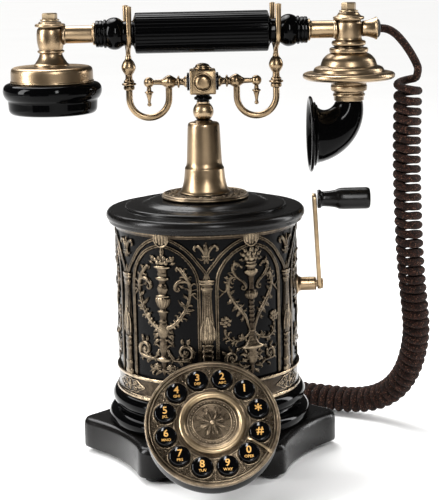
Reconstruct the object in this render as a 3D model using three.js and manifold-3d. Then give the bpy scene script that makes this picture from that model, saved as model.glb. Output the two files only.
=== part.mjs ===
// Antique-style desk telephone: a hexagonal plinth, a cylinder body in a cast brass arcade, a stepped
// lid, a turned column with two hooks that carry the handset, a tilted push-button dial, a side crank
// and a curly handset cord. Millimetres, +Z up, the dial faces -Y, the receiver is on the -X side.
import * as THREE from 'three';
import { mergeVertices } from 'three/addons/utils/BufferGeometryUtils.js';
import Module from 'manifold-3d';

const wasm = await Module();
wasm.setup();

// ---------------------------------------------------------------- driving dimensions
const GAP = 0.3; // between pieces that touch
const RUNNING_GAP = 0.35; // radial, between a pin or spindle and its bore
const ROUND_SEGMENTS = 32; // round pieces of the body
const SMALL_SEGMENTS = 12; // small round pieces
const WALL_SEGMENTS = 36; // body wall and its cage
const TUBE_SIDES = 8;

const BODY_RADIUS = 61.2;
const BODY_HEIGHT = 113;
const BODY_WALL = 2.4;

const MOULDING_LOW_RADIUS = BODY_RADIUS + 7.8;
const MOULDING_LOW_HEIGHT = 9.6;
const MOULDING_TOP_RADIUS = BODY_RADIUS + 5;
const MOULDING_TOP_HEIGHT = 10.4;
const MOULDING_NECK = 3;

const PLINTH_HEIGHT = 20.6;
const PLINTH_SIDE = MOULDING_LOW_RADIUS + 2; // axis to the middle of a hollowed side
const PLINTH_RADIUS = PLINTH_SIDE + 16; // axis to a cut corner
const PLINTH_CORNER = 10; // width of a cut corner
const PLINTH_BORE = BODY_RADIUS - 9.2;
const PLINTH_EDGE = 2; // rounding of the top edge

const FOOT_HEIGHT = 3.6;
const FOOT_RADIUS = 6;
const FOOT_CIRCLE = PLINTH_RADIUS - 11;
const BASE_PLATE = 1.6;
const BASE_PLATE_RADIUS = PLINTH_BORE + 10;
const BOARD_LIFT = 9; // circuit board above the base plate

const JACK_X = -26; // middle of the rear line jack
const JACK_WIDTH = 16;
const JACK_HEIGHT = 13;
const JACK_LIFT = 3.8; // underside of the plinth to the jack
const JACK_SOCKET = 11;
const JACK_INSET = 1; // jack face behind the plinth's side

const CAGE_THICKNESS = 1.6;
const CAGE_BAND = 14.5; // plain band at the foot
const CAGE_CORNICE = 6;
const CAGE_BAYS = 6;
const CAGE_COLUMN_RADIUS = 3.4;
const CAGE_ARCH_HALF = 24; // half width of an arched opening, in degrees of the body
const CAGE_ARCH_TOP = 7; // arch crown to the cornice

const LID_RADIUS = BODY_RADIUS + 5.9;
const LID_PLUG = 3.5; // depth of the plug inside the drum
const LID_RIM = 5.4;
const LID_RING = 3.4;
const LID_STEP_RADIUS = LID_RADIUS - 13.1;
const LID_STEP = 2.6;
const LID_DOME_RADIUS = LID_STEP_RADIUS - 13;
const LID_DOME = 3.3;
const FLANGE_RADIUS = 29.4;
const FLANGE_THICKNESS = 3.4;

const COLUMN_BASE_RADIUS = 15.2;
const COLUMN_STEP_RADIUS = 13.4;
const COLUMN_STEP = 16.4; // flange to the top of the step
const COLUMN_TRUNK_RADIUS = 11.9;
const COLUMN_TOP_RADIUS = 10.6;
const COLUMN_HEIGHT = 47.4; // flange to shoulder
const COLUMN_BALL_RADIUS = 6.9;
const COLLAR_RADIUS = 6.1;
const COLLAR_HEIGHT = 4.6;

const SPINDLE_RADIUS = 3;
const SPINDLE_REACH = 6.6; // spindle end below the lid's plug
const SWITCH_DEPTH = 9; // hook switch below the spindle's end
const BLOCK_SIZE = 17.3;
const BLOCK_HEIGHT = 16.2;
const BLOCK_CAP = 4.2;
const BOSS_RADIUS = 6.3;
const BOSS_DEPTH = 2.4;

const HOOK_REACH = 49; // axis to the centre of a fork
const HOOK_INNER = 22.6; // axis to the inner leg of the hook
const HOOK_TUBE = 2.2;
const HOOK_COLLAR_RADIUS = 4.7;
const HOOK_BALL_RADIUS = 4.75;
const HOOK_BULB_RADIUS = 4.6;
const FORK_WIRE = 2;
const FORK_HEIGHT = 18.3; // prong tip above the handset's axis

const HANDSET_ABOVE_ARM = 32.7; // handset axis above the arms
const NECK_RADIUS = 8.2;
const NECK_HALF = 3.6; // half length of the neck that lies in a fork
const GRIP_RADIUS = 13.5;
const GRIP_HALF = 43.5; // half length of the fluted part
const GRIP_FLUTES = 12;
const BEAD_RADIUS = 10.4;
const BEAD_LENGTH = 11;
const TUBE_RADIUS = 5.8;

const RECEIVER_REACH = 100; // body axis to the receiver's axis
const RECEIVER_CUP_RADIUS = 27.2;
const RECEIVER_CUP_DEPTH = 11;
const RECEIVER_CUP_DROP = 20; // handset axis to the top of the cup
const RECEIVER_CUP_WALL = 1.8;
const RECEIVER_CAP_RADIUS = 32.6;
const RECEIVER_CAP_DEPTH = 20.4;
const RECEIVER_LIP_RADIUS = 29.2;
const RECEIVER_EAR_RADIUS = 21;

const TRANSMITTER_REACH = 97.6;
const TRANSMITTER_STEM_RADIUS = 9.2;
const BELL_RADIUS = 30.9;
const BELL_RIM = 6;
const BELL_DROP = 34; // handset axis to the underside of the bell's rim
const BELL_WALL = 2;
const BELL_NECK = 13.8; // underside of the rim to the horn
const HORN_NECK_RADIUS = 9.2;
const HORN_MOUTH_RADIUS = 25.5;
const HORN_BEND = 21.5;
const HORN_WALL = 1.8;
const HORN_FLARE = 5.5; // straight length of the flared mouth

const CRANK_BELOW_LID = 46.2; // crank axis below the drum's top
const CRANK_RADIUS = 58.3;
const CRANK_SHAFT_RADIUS = 2.5;
const CRANK_BUSH_RADIUS = 4.75;
const CRANK_BUSH_REACH = BODY_RADIUS + 13.4;
const CRANK_ARM_THICKNESS = 2.8;
const CRANK_ARM_WIDTH = 8;
const CRANK_ARM_LEAN = 3; // the arm leans in towards its knob end
const CRANK_PIN_RADIUS = 1.8;
const KNOB_LENGTH = 35.5;
const KNOB_RADIUS = 7.4;

const DIAL_RADIUS = 42.6;
const DIAL_TILT = 41; // face normal above the horizontal, in degrees
const DIAL_DISTANCE = BODY_RADIUS + 44.4; // body axis to the centre of the face
const DIAL_HEIGHT = 49.8; // centre of the face above the table
const DIAL_PLATE = 1.6;
const DIAL_RIM = 1.4; // raised rim of the plate
const DIAL_DEPTH = 14.4; // depth of the housing behind the plate
const DIAL_WALL = 1.8;
const DIAL_CENTRE_RADIUS = 21.2;
const DIAL_CENTRE_HEIGHT = 3;
const DIAL_BRACKET_WIDTH = 30;
const DIAL_BRACKET_LENGTH = 38; // along the back of the can
const DIAL_BRACKET_FOOT = 12; // beyond the plinth's side
const KEY_CIRCLE = 30.3;
const KEY_RADIUS = 6.8;
const KEY_HEIGHT = 3.2;
const KEY_FLANGE = 0.8; // how far the flange reaches beyond the cap
const KEY_TRAVEL = 1.5;
const KEY_NAMES = ['1', '2', '3', '4', '5', '6', '7', '8', '9', '0', 'hash', 'star'];
const KEY_FIRST_ANGLE = 46.6; // key 1, anticlockwise from the right
const KEY_HOLE_GAP = 0.35;
const STOP_WIDTH = 1.4; // bar between the last two keys
const STOP_HEIGHT = 3.8;

const CORD_DIAMETER = 5;
const COIL_RADIUS = 9.35;
const CORD_EXIT_LIFT = 10; // underside of the plinth to the cord's axis
const GROMMET_RADIUS = 4.6;
const GROMMET_REACH = 8.6; // beyond the plinth's side

// ---------------------------------------------------------------- heights that follow
const plinthBottom = FOOT_HEIGHT;
const plinthTop = plinthBottom + PLINTH_HEIGHT;
const mouldingBottom = plinthTop + GAP;
const mouldingTop = mouldingBottom + MOULDING_LOW_HEIGHT + MOULDING_NECK + MOULDING_TOP_HEIGHT;
const bodyBottom = mouldingTop + GAP;
const bodyTop = bodyBottom + BODY_HEIGHT;
const crankHeight = bodyTop - CRANK_BELOW_LID;
const cageInner = BODY_RADIUS + GAP;
const cageOuter = cageInner + CAGE_THICKNESS;
const lidBottom = bodyTop + GAP;
const lidRimTop = lidBottom + LID_RING + LID_RIM;
const lidTop = lidRimTop + LID_STEP + LID_DOME;
const flangeBottom = lidTop + GAP;
const columnBottom = flangeBottom + FLANGE_THICKNESS + GAP;
const columnTop = columnBottom + COLUMN_HEIGHT;
const ballCentre = columnTop + COLUMN_BALL_RADIUS;
const collarBottom = ballCentre + COLUMN_BALL_RADIUS - 0.4;
const blockBottom = collarBottom + GAP + COLLAR_HEIGHT + 0.5;
const blockTop = blockBottom + BLOCK_HEIGHT;
const armHeight = blockBottom + BLOCK_HEIGHT / 2;
const handsetHeight = armHeight + HANDSET_ABOVE_ARM;
const spindleBore = SPINDLE_RADIUS + RUNNING_GAP;
const spindleBottom = lidBottom - LID_PLUG - SPINDLE_REACH;
const cordExitHeight = plinthBottom + CORD_EXIT_LIFT;
const grommetTip = PLINTH_SIDE + GROMMET_REACH;
const jackBottom = plinthBottom + JACK_LIFT;
const jackFace = PLINTH_SIDE - JACK_INSET;

// ---------------------------------------------------------------- geometry helpers
const radians = THREE.MathUtils.degToRad;

function toSolid(geometry) {
  const plain = geometry.index ? geometry.clone() : geometry;
  for (const name of Object.keys(plain.attributes)) {
    if (name !== 'position') plain.deleteAttribute(name);
  }
  const merged = mergeVertices(plain, 1e-4);
  return new wasm.Manifold(new wasm.Mesh({
    numProp: 3,
    vertProperties: new Float32Array(merged.attributes.position.array),
    triVerts: new Uint32Array(merged.index.array),
  }));
}

function toGeometry(manifold) {
  const mesh = manifold.getMesh();
  const geometry = new THREE.BufferGeometry();
  geometry.setAttribute('position', new THREE.BufferAttribute(new Float32Array(mesh.vertProperties), 3));
  geometry.setIndex(new THREE.BufferAttribute(new Uint32Array(mesh.triVerts), 1));
  geometry.computeVertexNormals();
  return geometry;
}

const cut = (geometry, ...tools) => toGeometry(tools.reduce((left, tool) => left.subtract(toSolid(tool)),
  toSolid(geometry)));
const join = (geometry, ...more) => toGeometry(more.reduce((sum, piece) => sum.add(toSolid(piece)),
  toSolid(geometry)));

// A solid turned about Z from [radius, height] pairs, listed upwards along the outside.
function turned(profile, segments = SMALL_SEGMENTS) {
  const points = profile.map(([radius, height]) => new THREE.Vector2(radius, height));
  return new THREE.LatheGeometry(points, segments).rotateX(Math.PI / 2);
}

// A turned ring: the same, closed on itself.
const turnedRing = (profile, segments) => turned([...profile, profile[0]], segments);

function rod(radius, bottom, top, segments = SMALL_SEGMENTS) {
  return turned([[0, bottom], [radius, bottom], [radius, top], [0, top]], segments);
}

function ring(inner, outer, bottom, top, segments = ROUND_SEGMENTS) {
  return turnedRing([[inner, bottom], [outer, bottom], [outer, top], [inner, top]], segments);
}

function box(low, high) {
  const size = high.map((value, axis) => value - low[axis]);
  const centre = high.map((value, axis) => (value + low[axis]) / 2);
  return new THREE.BoxGeometry(...size).translate(...centre);
}

// A round bar along a curve.
function bar(curve, radius, steps, sides = TUBE_SIDES) {
  const section = new THREE.Shape();
  for (let i = 0; i < sides; i += 1) {
    const angle = 2 * Math.PI * i / sides;
    const point = [radius * Math.cos(angle), radius * Math.sin(angle)];
    if (i === 0) section.moveTo(...point);
    else section.lineTo(...point);
  }
  section.closePath();
  return new THREE.ExtrudeGeometry(section, { steps, extrudePath: curve, bevelEnabled: false });
}

const alongX = (geometry) => geometry.rotateY(Math.PI / 2);
const mirrored = (geometry) => {
  geometry.scale(-1, 1, 1);
  const index = geometry.index.array;
  for (let i = 0; i < index.length; i += 3) {
    [index[i], index[i + 1]] = [index[i + 1], index[i]];
  }
  return geometry;
};

// Rings of points joined into one closed skin; each ring has the same number of points.
function loft(rings) {
  const count = rings[0].length;
  const positions = rings.flat().flatMap((point) => point.toArray());
  const indices = [];
  for (let r = 0; r < rings.length; r += 1) {
    const next = (r + 1) % rings.length;
    for (let i = 0; i < count; i += 1) {
      const j = (i + 1) % count;
      indices.push(r * count + i, r * count + j, next * count + j);
      indices.push(r * count + i, next * count + j, next * count + i);
    }
  }
  const geometry = new THREE.BufferGeometry();
  geometry.setAttribute('position', new THREE.Float32BufferAttribute(positions, 3));
  geometry.setIndex(indices);
  return geometry;
}

// ---------------------------------------------------------------- materials and nodes
const FINISHES = {
  black: { color: 0x0b0b0c, roughness: 0.18, metalness: 0.0 },
  satin: { color: 0x151413, roughness: 0.35, metalness: 0.1 },
  antique: { color: 0x8a6a3c, roughness: 0.42, metalness: 0.9 },
  bright: { color: 0xc9a25a, roughness: 0.25, metalness: 1.0 },
  rubber: { color: 0x1a1a1a, roughness: 0.8, metalness: 0.0 },
  cord: { color: 0x3a211a, roughness: 0.85, metalness: 0.0 },
  steel: { color: 0x8e9092, roughness: 0.4, metalness: 0.9 },
  board: { color: 0x2f5a3a, roughness: 0.6, metalness: 0.0 },
};

const group = new THREE.Group();
group.name = 'desk_telephone';

function add(name, finish, geometry, parent = group) {
  const mesh = new THREE.Mesh(geometry, new THREE.MeshStandardMaterial(FINISHES[finish]));
  mesh.name = name;
  parent.add(mesh);
  return mesh;
}

// ---------------------------------------------------------------- plinth and base
function plinthOutline() {
  const outline = new THREE.Shape();
  const half = PLINTH_CORNER / 2;
  const side = radians(60);
  for (let i = 0; i < 6; i += 1) {
    const corner = i * side;
    const place = (along, across) => [
      along * Math.cos(corner) - across * Math.sin(corner),
      along * Math.sin(corner) + across * Math.cos(corner),
    ];
    const start = place(PLINTH_RADIUS, -half);
    const end = place(PLINTH_RADIUS, half);
    if (i === 0) outline.moveTo(...start);
    else outline.lineTo(...start);
    outline.lineTo(...end);
    // The hollowed side is an arc through its middle point to the next corner.
    const facing = corner + side / 2;
    const chord = PLINTH_RADIUS * Math.cos(side / 2) + half * Math.sin(side / 2);
    const reach = PLINTH_RADIUS * Math.sin(side / 2) - half * Math.cos(side / 2);
    const hollow = chord - PLINTH_SIDE;
    const radius = (reach * reach + hollow * hollow) / (2 * hollow);
    const centre = PLINTH_SIDE + radius;
    const sweep = Math.asin(reach / radius);
    const from = facing + Math.PI + sweep;
    const steps = 6;
    for (let k = 1; k < steps; k += 1) {
      const angle = from - 2 * sweep * k / steps;
      outline.lineTo(centre * Math.cos(facing) + radius * Math.cos(angle),
        centre * Math.sin(facing) + radius * Math.sin(angle));
    }
  }
  outline.closePath();
  return outline;
}

function plinth() {
  const outline = plinthOutline();
  const body = new THREE.ExtrudeGeometry(outline, {
    depth: PLINTH_HEIGHT - 2 * PLINTH_EDGE,
    bevelThickness: PLINTH_EDGE,
    bevelSize: PLINTH_EDGE,
    bevelOffset: -PLINTH_EDGE,
    bevelSegments: 1,
  }).translate(0, 0, plinthBottom + PLINTH_EDGE);
  const bore = rod(PLINTH_BORE, plinthBottom - 1, plinthTop + 1, ROUND_SEGMENTS);
  const recess = rod(BASE_PLATE_RADIUS + GAP, plinthBottom - 1, plinthBottom + BASE_PLATE + GAP,
    ROUND_SEGMENTS);
  const cordHole = rod(GROMMET_RADIUS + GAP, 0, PLINTH_RADIUS, SMALL_SEGMENTS)
    .rotateX(-Math.PI / 2).translate(0, 0, cordExitHeight);
  const jackHole = box([JACK_X - JACK_WIDTH / 2 - GAP, 0, jackBottom - GAP],
    [JACK_X + JACK_WIDTH / 2 + GAP, PLINTH_RADIUS, jackBottom + JACK_HEIGHT + GAP]);
  return cut(body, bore, recess, cordHole, jackHole);
}

add('plinth', 'satin', plinth());
add('base_plate', 'steel', rod(BASE_PLATE_RADIUS, plinthBottom, plinthBottom + BASE_PLATE,
  ROUND_SEGMENTS));

const feet = { foot_front_left: 240, foot_front_right: 300, foot_rear_right: 60, foot_rear_left: 120 };
for (const [name, angle] of Object.entries(feet)) {
  const foot = add(name, 'rubber', turned([
    [0, 0], [FOOT_RADIUS - 0.6, 0], [FOOT_RADIUS, 0.6], [FOOT_RADIUS, FOOT_HEIGHT - GAP],
    [0, FOOT_HEIGHT - GAP],
  ]));
  foot.position.set(FOOT_CIRCLE * Math.cos(radians(angle)), FOOT_CIRCLE * Math.sin(radians(angle)), 0);
}

// A half-round bead of a moulding, upwards along its outside.
function bead(radius, bottom, height, steps = 4) {
  const profile = [];
  for (let i = 0; i <= steps; i += 1) {
    const angle = -Math.PI / 2 + Math.PI * i / steps;
    profile.push([radius - height / 2 + height / 2 * Math.cos(angle),
      bottom + height / 2 + height / 2 * Math.sin(angle)]);
  }
  return profile;
}

const neckTop = mouldingBottom + MOULDING_LOW_HEIGHT + MOULDING_NECK;
add('moulding', 'black', turnedRing([
  [PLINTH_BORE, mouldingBottom],
  ...bead(MOULDING_LOW_RADIUS, mouldingBottom, MOULDING_LOW_HEIGHT),
  [MOULDING_TOP_RADIUS - MOULDING_TOP_HEIGHT / 2 + 1.4, neckTop - MOULDING_NECK / 2],
  ...bead(MOULDING_TOP_RADIUS, neckTop, MOULDING_TOP_HEIGHT),
  [PLINTH_BORE, mouldingTop],
], ROUND_SEGMENTS));

// ---------------------------------------------------------------- body, cage and lid
const bushHole = alongX(rod(CRANK_BUSH_RADIUS + GAP, 0, 2 * BODY_RADIUS)).translate(0, 0, crankHeight);
add('body_shell', 'black', cut(
  ring(BODY_RADIUS - BODY_WALL, BODY_RADIUS, bodyBottom, bodyTop, WALL_SEGMENTS),
  bushHole,
));

// An arched opening of the cage, from its sill to its crown, pushed out through the wall.
function archTool(angle) {
  const half = cageOuter * Math.sin(radians(CAGE_ARCH_HALF));
  const sill = bodyBottom + CAGE_BAND;
  const crown = bodyTop - CAGE_CORNICE - CAGE_ARCH_TOP;
  const shape = new THREE.Shape();
  shape.moveTo(-half, sill);
  shape.lineTo(half, sill);
  shape.lineTo(half, crown - half);
  const steps = 6;
  for (let i = 1; i < steps; i += 1) {
    const turn = Math.PI * i / steps;
    shape.lineTo(half * Math.cos(turn), crown - half + half * Math.sin(turn));
  }
  shape.lineTo(-half, crown - half);
  shape.closePath();
  const tool = new THREE.ExtrudeGeometry(shape, { depth: BODY_RADIUS, bevelEnabled: false });
  return tool.rotateX(Math.PI / 2).translate(0, -BODY_RADIUS / 2, 0).rotateZ(radians(angle));
}

function fretwork() {
  const bay = 360 / CAGE_BAYS;
  const wall = turnedRing([
    [cageInner, bodyBottom], [cageOuter, bodyBottom],
    [cageOuter, bodyTop - CAGE_CORNICE], [cageOuter + 1.4, bodyTop - 2], [cageOuter + 1.4, bodyTop],
    [cageInner, bodyTop],
  ], WALL_SEGMENTS);
  const arches = [];
  const columns = [];
  for (let i = 0; i < CAGE_BAYS; i += 1) {
    arches.push(archTool(bay * (i + 0.5)));
    const angle = radians(-90 + bay * i);
    const bottom = bodyBottom + CAGE_BAND - 2;
    const top = bodyTop - CAGE_CORNICE - 12;
    columns.push(turned([
      [0, bottom], [CAGE_COLUMN_RADIUS, bottom], [CAGE_COLUMN_RADIUS - 1, bottom + 10],
      [CAGE_COLUMN_RADIUS, bottom + 26], [CAGE_COLUMN_RADIUS - 1, bottom + 50],
      [CAGE_COLUMN_RADIUS - 1, top - 12], [CAGE_COLUMN_RADIUS + 1, top], [0, top],
    ], 6).translate((cageInner + 0.6) * Math.cos(angle), (cageInner + 0.6) * Math.sin(angle), 0));
  }
  const inside = rod(cageInner, bodyBottom - 1, bodyTop + 1, WALL_SEGMENTS);
  return cut(join(cut(wall, ...arches), ...columns), inside);
}
add('fretwork', 'antique', fretwork());

const lidRingTop = lidBottom + LID_RING;
add('lid', 'satin', turnedRing([
  [spindleBore, lidBottom - LID_PLUG],
  [BODY_RADIUS - BODY_WALL - GAP, lidBottom - LID_PLUG],
  [BODY_RADIUS - BODY_WALL - GAP, lidBottom],
  [LID_RADIUS - 1.6, lidBottom],
  [LID_RADIUS - 1.6, lidRingTop - 0.3],
  [LID_RADIUS, lidRingTop],
  [LID_RADIUS, lidRimTop - 0.6],
  [LID_RADIUS - 0.6, lidRimTop],
  [LID_STEP_RADIUS, lidRimTop],
  [LID_STEP_RADIUS, lidRimTop + LID_STEP - 0.4],
  [LID_STEP_RADIUS - 0.6, lidRimTop + LID_STEP],
  [LID_DOME_RADIUS, lidRimTop + LID_STEP],
  [LID_DOME_RADIUS - 1, lidTop - 1],
  [LID_DOME_RADIUS - 4, lidTop],
  [spindleBore, lidTop],
], WALL_SEGMENTS));

add('lid_flange', 'antique', turnedRing([
  [spindleBore, flangeBottom],
  [FLANGE_RADIUS - 0.5, flangeBottom],
  [FLANGE_RADIUS, flangeBottom + 0.5],
  [FLANGE_RADIUS, flangeBottom + FLANGE_THICKNESS - 0.5],
  [FLANGE_RADIUS - 0.5, flangeBottom + FLANGE_THICKNESS],
  [spindleBore, flangeBottom + FLANGE_THICKNESS],
], ROUND_SEGMENTS));

// ---------------------------------------------------------------- column
const columnStep = columnBottom + COLUMN_STEP;
add('column', 'antique', turnedRing([
  [spindleBore, columnBottom],
  [COLUMN_BASE_RADIUS + 2.5, columnBottom],
  [COLUMN_BASE_RADIUS, columnBottom + 2],
  [COLUMN_STEP_RADIUS, columnStep - 2],
  [COLUMN_STEP_RADIUS, columnStep],
  [COLUMN_TRUNK_RADIUS, columnStep + 0.6],
  [COLUMN_TRUNK_RADIUS, columnStep + 3.4],
  [(COLUMN_TRUNK_RADIUS + COLUMN_TOP_RADIUS) / 2, columnTop - 16],
  [COLUMN_TOP_RADIUS, columnTop - 1.4],
  [COLUMN_TOP_RADIUS - 1, columnTop],
  [COLUMN_BALL_RADIUS * 0.6, columnTop + 0.6],
  ...[-0.6, 0, 0.6].map((share) => [
    COLUMN_BALL_RADIUS * Math.sqrt(1 - share * share), ballCentre + COLUMN_BALL_RADIUS * share]),
  [COLUMN_BALL_RADIUS * 0.62, collarBottom],
  [spindleBore, collarBottom],
], 16));
add('column_collar', 'black', turnedRing([
  [spindleBore, collarBottom + GAP],
  [COLLAR_RADIUS - 0.6, collarBottom + GAP],
  [COLLAR_RADIUS, collarBottom + GAP + 0.8],
  [COLLAR_RADIUS, collarBottom + GAP + COLLAR_HEIGHT - 0.8],
  [COLLAR_RADIUS - 0.6, collarBottom + GAP + COLLAR_HEIGHT],
  [spindleBore, collarBottom + GAP + COLLAR_HEIGHT],
]));

// ---------------------------------------------------------------- inside the body
const boardHeight = plinthBottom + BASE_PLATE + BOARD_LIFT;
function circuitBoard() {
  const board = box([-30, -40, boardHeight], [30, 2, boardHeight + 1.6]);
  const fittings = [
    box([-22, -32, boardHeight + 1], [-6, -22, boardHeight + 5]),
    box([4, -30, boardHeight + 1], [20, -18, boardHeight + 8]),
    rod(4, boardHeight + 1, boardHeight + 11, 12).translate(-16, -10, 0),
    rod(3, boardHeight + 1, boardHeight + 9, 12).translate(10, -8, 0),
  ];
  for (const x of [-26, 26]) {
    for (const y of [-36, -2]) {
      fittings.push(rod(2, plinthBottom + BASE_PLATE + GAP, boardHeight + 0.5, 8).translate(x, y, 0));
    }
  }
  return join(board, ...fittings);
}
add('circuit_board', 'board', circuitBoard());

const gongHeight = bodyBottom + 22;
add('ringer_gong', 'bright', turned([
  [0, plinthBottom + BASE_PLATE + GAP], [8, plinthBottom + BASE_PLATE + GAP],
  [8, plinthBottom + BASE_PLATE + 2], [3, plinthBottom + BASE_PLATE + 3], [3, gongHeight],
  [16, gongHeight - 2], [21, gongHeight - 8], [23, gongHeight - 14], [24.2, gongHeight - 14],
  [22.4, gongHeight - 7], [17, gongHeight - 0.5], [8, gongHeight + 1.6], [0, gongHeight + 1.8],
], 16).translate(0, 28, 0));

add('hook_switch', 'black', join(
  box([SPINDLE_RADIUS + 3, -7, spindleBottom - SWITCH_DEPTH],
    [SPINDLE_RADIUS + 17, 7, lidBottom - LID_PLUG - GAP]),
  box([-6, -5, spindleBottom - SWITCH_DEPTH], [SPINDLE_RADIUS + 6, 5, spindleBottom - GAP]),
));

// ---------------------------------------------------------------- rear socket for the wall line
function lineJack() {
  const top = jackBottom + JACK_HEIGHT;
  const block = box([JACK_X - JACK_WIDTH / 2, PLINTH_BORE - 4, jackBottom],
    [JACK_X + JACK_WIDTH / 2, jackFace - 8, top]);
  const middle = jackBottom + JACK_HEIGHT / 2;
  const socket = box([JACK_X - JACK_SOCKET / 2, jackFace - 20, middle - JACK_SOCKET * 0.35],
    [JACK_X + JACK_SOCKET / 2, jackFace, middle + JACK_SOCKET * 0.35]);
  return cut(block, socket);
}
add('line_jack', 'black', lineJack());

// ---------------------------------------------------------------- dial
// Everything on the dial is built about Z, face upwards at zero, and set on the tilted face.
const dial = new THREE.Group();
dial.position.set(0, -DIAL_DISTANCE, DIAL_HEIGHT);
dial.rotation.x = radians(90 - DIAL_TILT);
group.add(dial);

const keyPlace = (index) => {
  const angle = radians(KEY_FIRST_ANGLE + 30 * index);
  return [KEY_CIRCLE * Math.cos(angle), KEY_CIRCLE * Math.sin(angle)];
};

function dialPlate() {
  const plate = turned([
    [0, -DIAL_PLATE], [DIAL_RADIUS, -DIAL_PLATE], [DIAL_RADIUS, DIAL_RIM - 0.5],
    [DIAL_RADIUS - 0.6, DIAL_RIM], [DIAL_RADIUS - 2, DIAL_RIM], [DIAL_RADIUS - 2.6, 0], [0, 0],
  ], ROUND_SEGMENTS);
  const holes = KEY_NAMES.map((name, index) => (
    rod(KEY_RADIUS + KEY_HOLE_GAP, -DIAL_PLATE - 1, DIAL_RIM + 1).translate(...keyPlace(index), 0)));
  return cut(plate, ...holes);
}
add('dial_plate', 'antique', dialPlate(), dial);

add('dial_centre', 'bright', turned([
  [0, GAP], [DIAL_CENTRE_RADIUS, GAP], [DIAL_CENTRE_RADIUS, DIAL_CENTRE_HEIGHT - 1],
  [DIAL_CENTRE_RADIUS - 1.4, DIAL_CENTRE_HEIGHT], [DIAL_CENTRE_RADIUS - 4, DIAL_CENTRE_HEIGHT],
  [DIAL_CENTRE_RADIUS - 5, DIAL_CENTRE_HEIGHT - 1], [0, DIAL_CENTRE_HEIGHT - 1],
], ROUND_SEGMENTS), dial);

// The stop bar lies between the last two keys, from the rim inwards.
const stopAngle = radians(KEY_FIRST_ANGLE + 30 * 9.5);
add('finger_stop', 'bright', box([DIAL_CENTRE_RADIUS + 4.6, -STOP_WIDTH / 2, GAP],
  [DIAL_RADIUS - 3.2, STOP_WIDTH / 2, STOP_HEIGHT]).rotateZ(stopAngle), dial);

const keyFlangeTop = -DIAL_PLATE - GAP;
const keyFlangeBottom = keyFlangeTop - 1.3;
const matTop = keyFlangeBottom - KEY_TRAVEL - 1;
KEY_NAMES.forEach((name, index) => {
  const flange = KEY_RADIUS + KEY_FLANGE;
  const key = add(`key_${name}`, 'black', turned([
    [0, keyFlangeBottom], [flange, keyFlangeBottom], [flange, keyFlangeTop],
    [KEY_RADIUS, keyFlangeTop], [KEY_RADIUS, KEY_HEIGHT - 1.6], [KEY_RADIUS - 1.3, KEY_HEIGHT - 0.5],
    [0, KEY_HEIGHT],
  ]), dial);
  key.position.set(...keyPlace(index), 0);
});

const housingRadius = DIAL_RADIUS - 0.4;
const housingTop = -DIAL_PLATE - GAP;
const housingFloor = housingTop - DIAL_DEPTH;
add('keypad_mat', 'rubber', rod(housingRadius - DIAL_WALL - 1, matTop - 1.4, matTop, ROUND_SEGMENTS),
  dial);

function dialHousing() {
  const inner = housingRadius - DIAL_WALL;
  const can = turned([
    [0, housingFloor], [housingRadius - 3.4, housingFloor], [housingRadius - 0.8, housingFloor + 2],
    [housingRadius, housingFloor + 5], [housingRadius, housingTop], [inner, housingTop],
    [inner, matTop - 1.4 - GAP], [0, matTop - 1.4 - GAP],
  ], ROUND_SEGMENTS);
  can.rotateX(radians(90 - DIAL_TILT)).translate(0, -DIAL_DISTANCE, DIAL_HEIGHT);
  // The bracket runs from the back of the can to the plinth and the mouldings.
  const back = (along, depth) => [
    -DIAL_DISTANCE - depth * Math.cos(radians(DIAL_TILT)) + along * Math.sin(radians(DIAL_TILT)),
    DIAL_HEIGHT + depth * Math.sin(radians(DIAL_TILT)) + along * Math.cos(radians(DIAL_TILT)),
  ];
  const side = new THREE.Shape();
  const wall = -MOULDING_LOW_RADIUS - GAP;
  const tail = DIAL_BRACKET_LENGTH / 2;
  side.moveTo(...back(tail, housingFloor + 2));
  side.lineTo(...back(-tail, housingFloor + 2));
  side.lineTo(-PLINTH_SIDE - DIAL_BRACKET_FOOT, plinthTop + GAP);
  side.lineTo(wall, plinthTop + GAP);
  side.lineTo(wall, DIAL_HEIGHT + 3);
  side.closePath();
  const bracket = new THREE.ExtrudeGeometry(side, { depth: DIAL_BRACKET_WIDTH, bevelEnabled: false })
    .applyMatrix4(new THREE.Matrix4().makeBasis(
      new THREE.Vector3(0, 1, 0), new THREE.Vector3(0, 0, 1), new THREE.Vector3(1, 0, 0)))
    .translate(-DIAL_BRACKET_WIDTH / 2, 0, 0);
  return join(can, bracket);
}
add('dial_housing', 'black', dialHousing());

// ---------------------------------------------------------------- crank
const crankArmInner = CRANK_BUSH_REACH + 0.8;
const crankArmOuter = crankArmInner + CRANK_ARM_THICKNESS;
const shaftBore = CRANK_SHAFT_RADIUS + RUNNING_GAP;
const escutcheon = cageOuter + 3;
add('crank_bush', 'antique', alongX(turnedRing([
  [shaftBore, BODY_RADIUS - BODY_WALL - 5],
  [CRANK_BUSH_RADIUS, BODY_RADIUS - BODY_WALL - 5],
  [CRANK_BUSH_RADIUS, cageInner + 0.4],
  [CRANK_BUSH_RADIUS + 4, cageInner + 0.4],
  [CRANK_BUSH_RADIUS + 4, cageInner + 2],
  [CRANK_BUSH_RADIUS, escutcheon],
  [CRANK_BUSH_RADIUS, CRANK_BUSH_REACH - 1],
  [CRANK_BUSH_RADIUS - 0.8, CRANK_BUSH_REACH],
  [shaftBore, CRANK_BUSH_REACH],
])).translate(0, 0, crankHeight));

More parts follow.
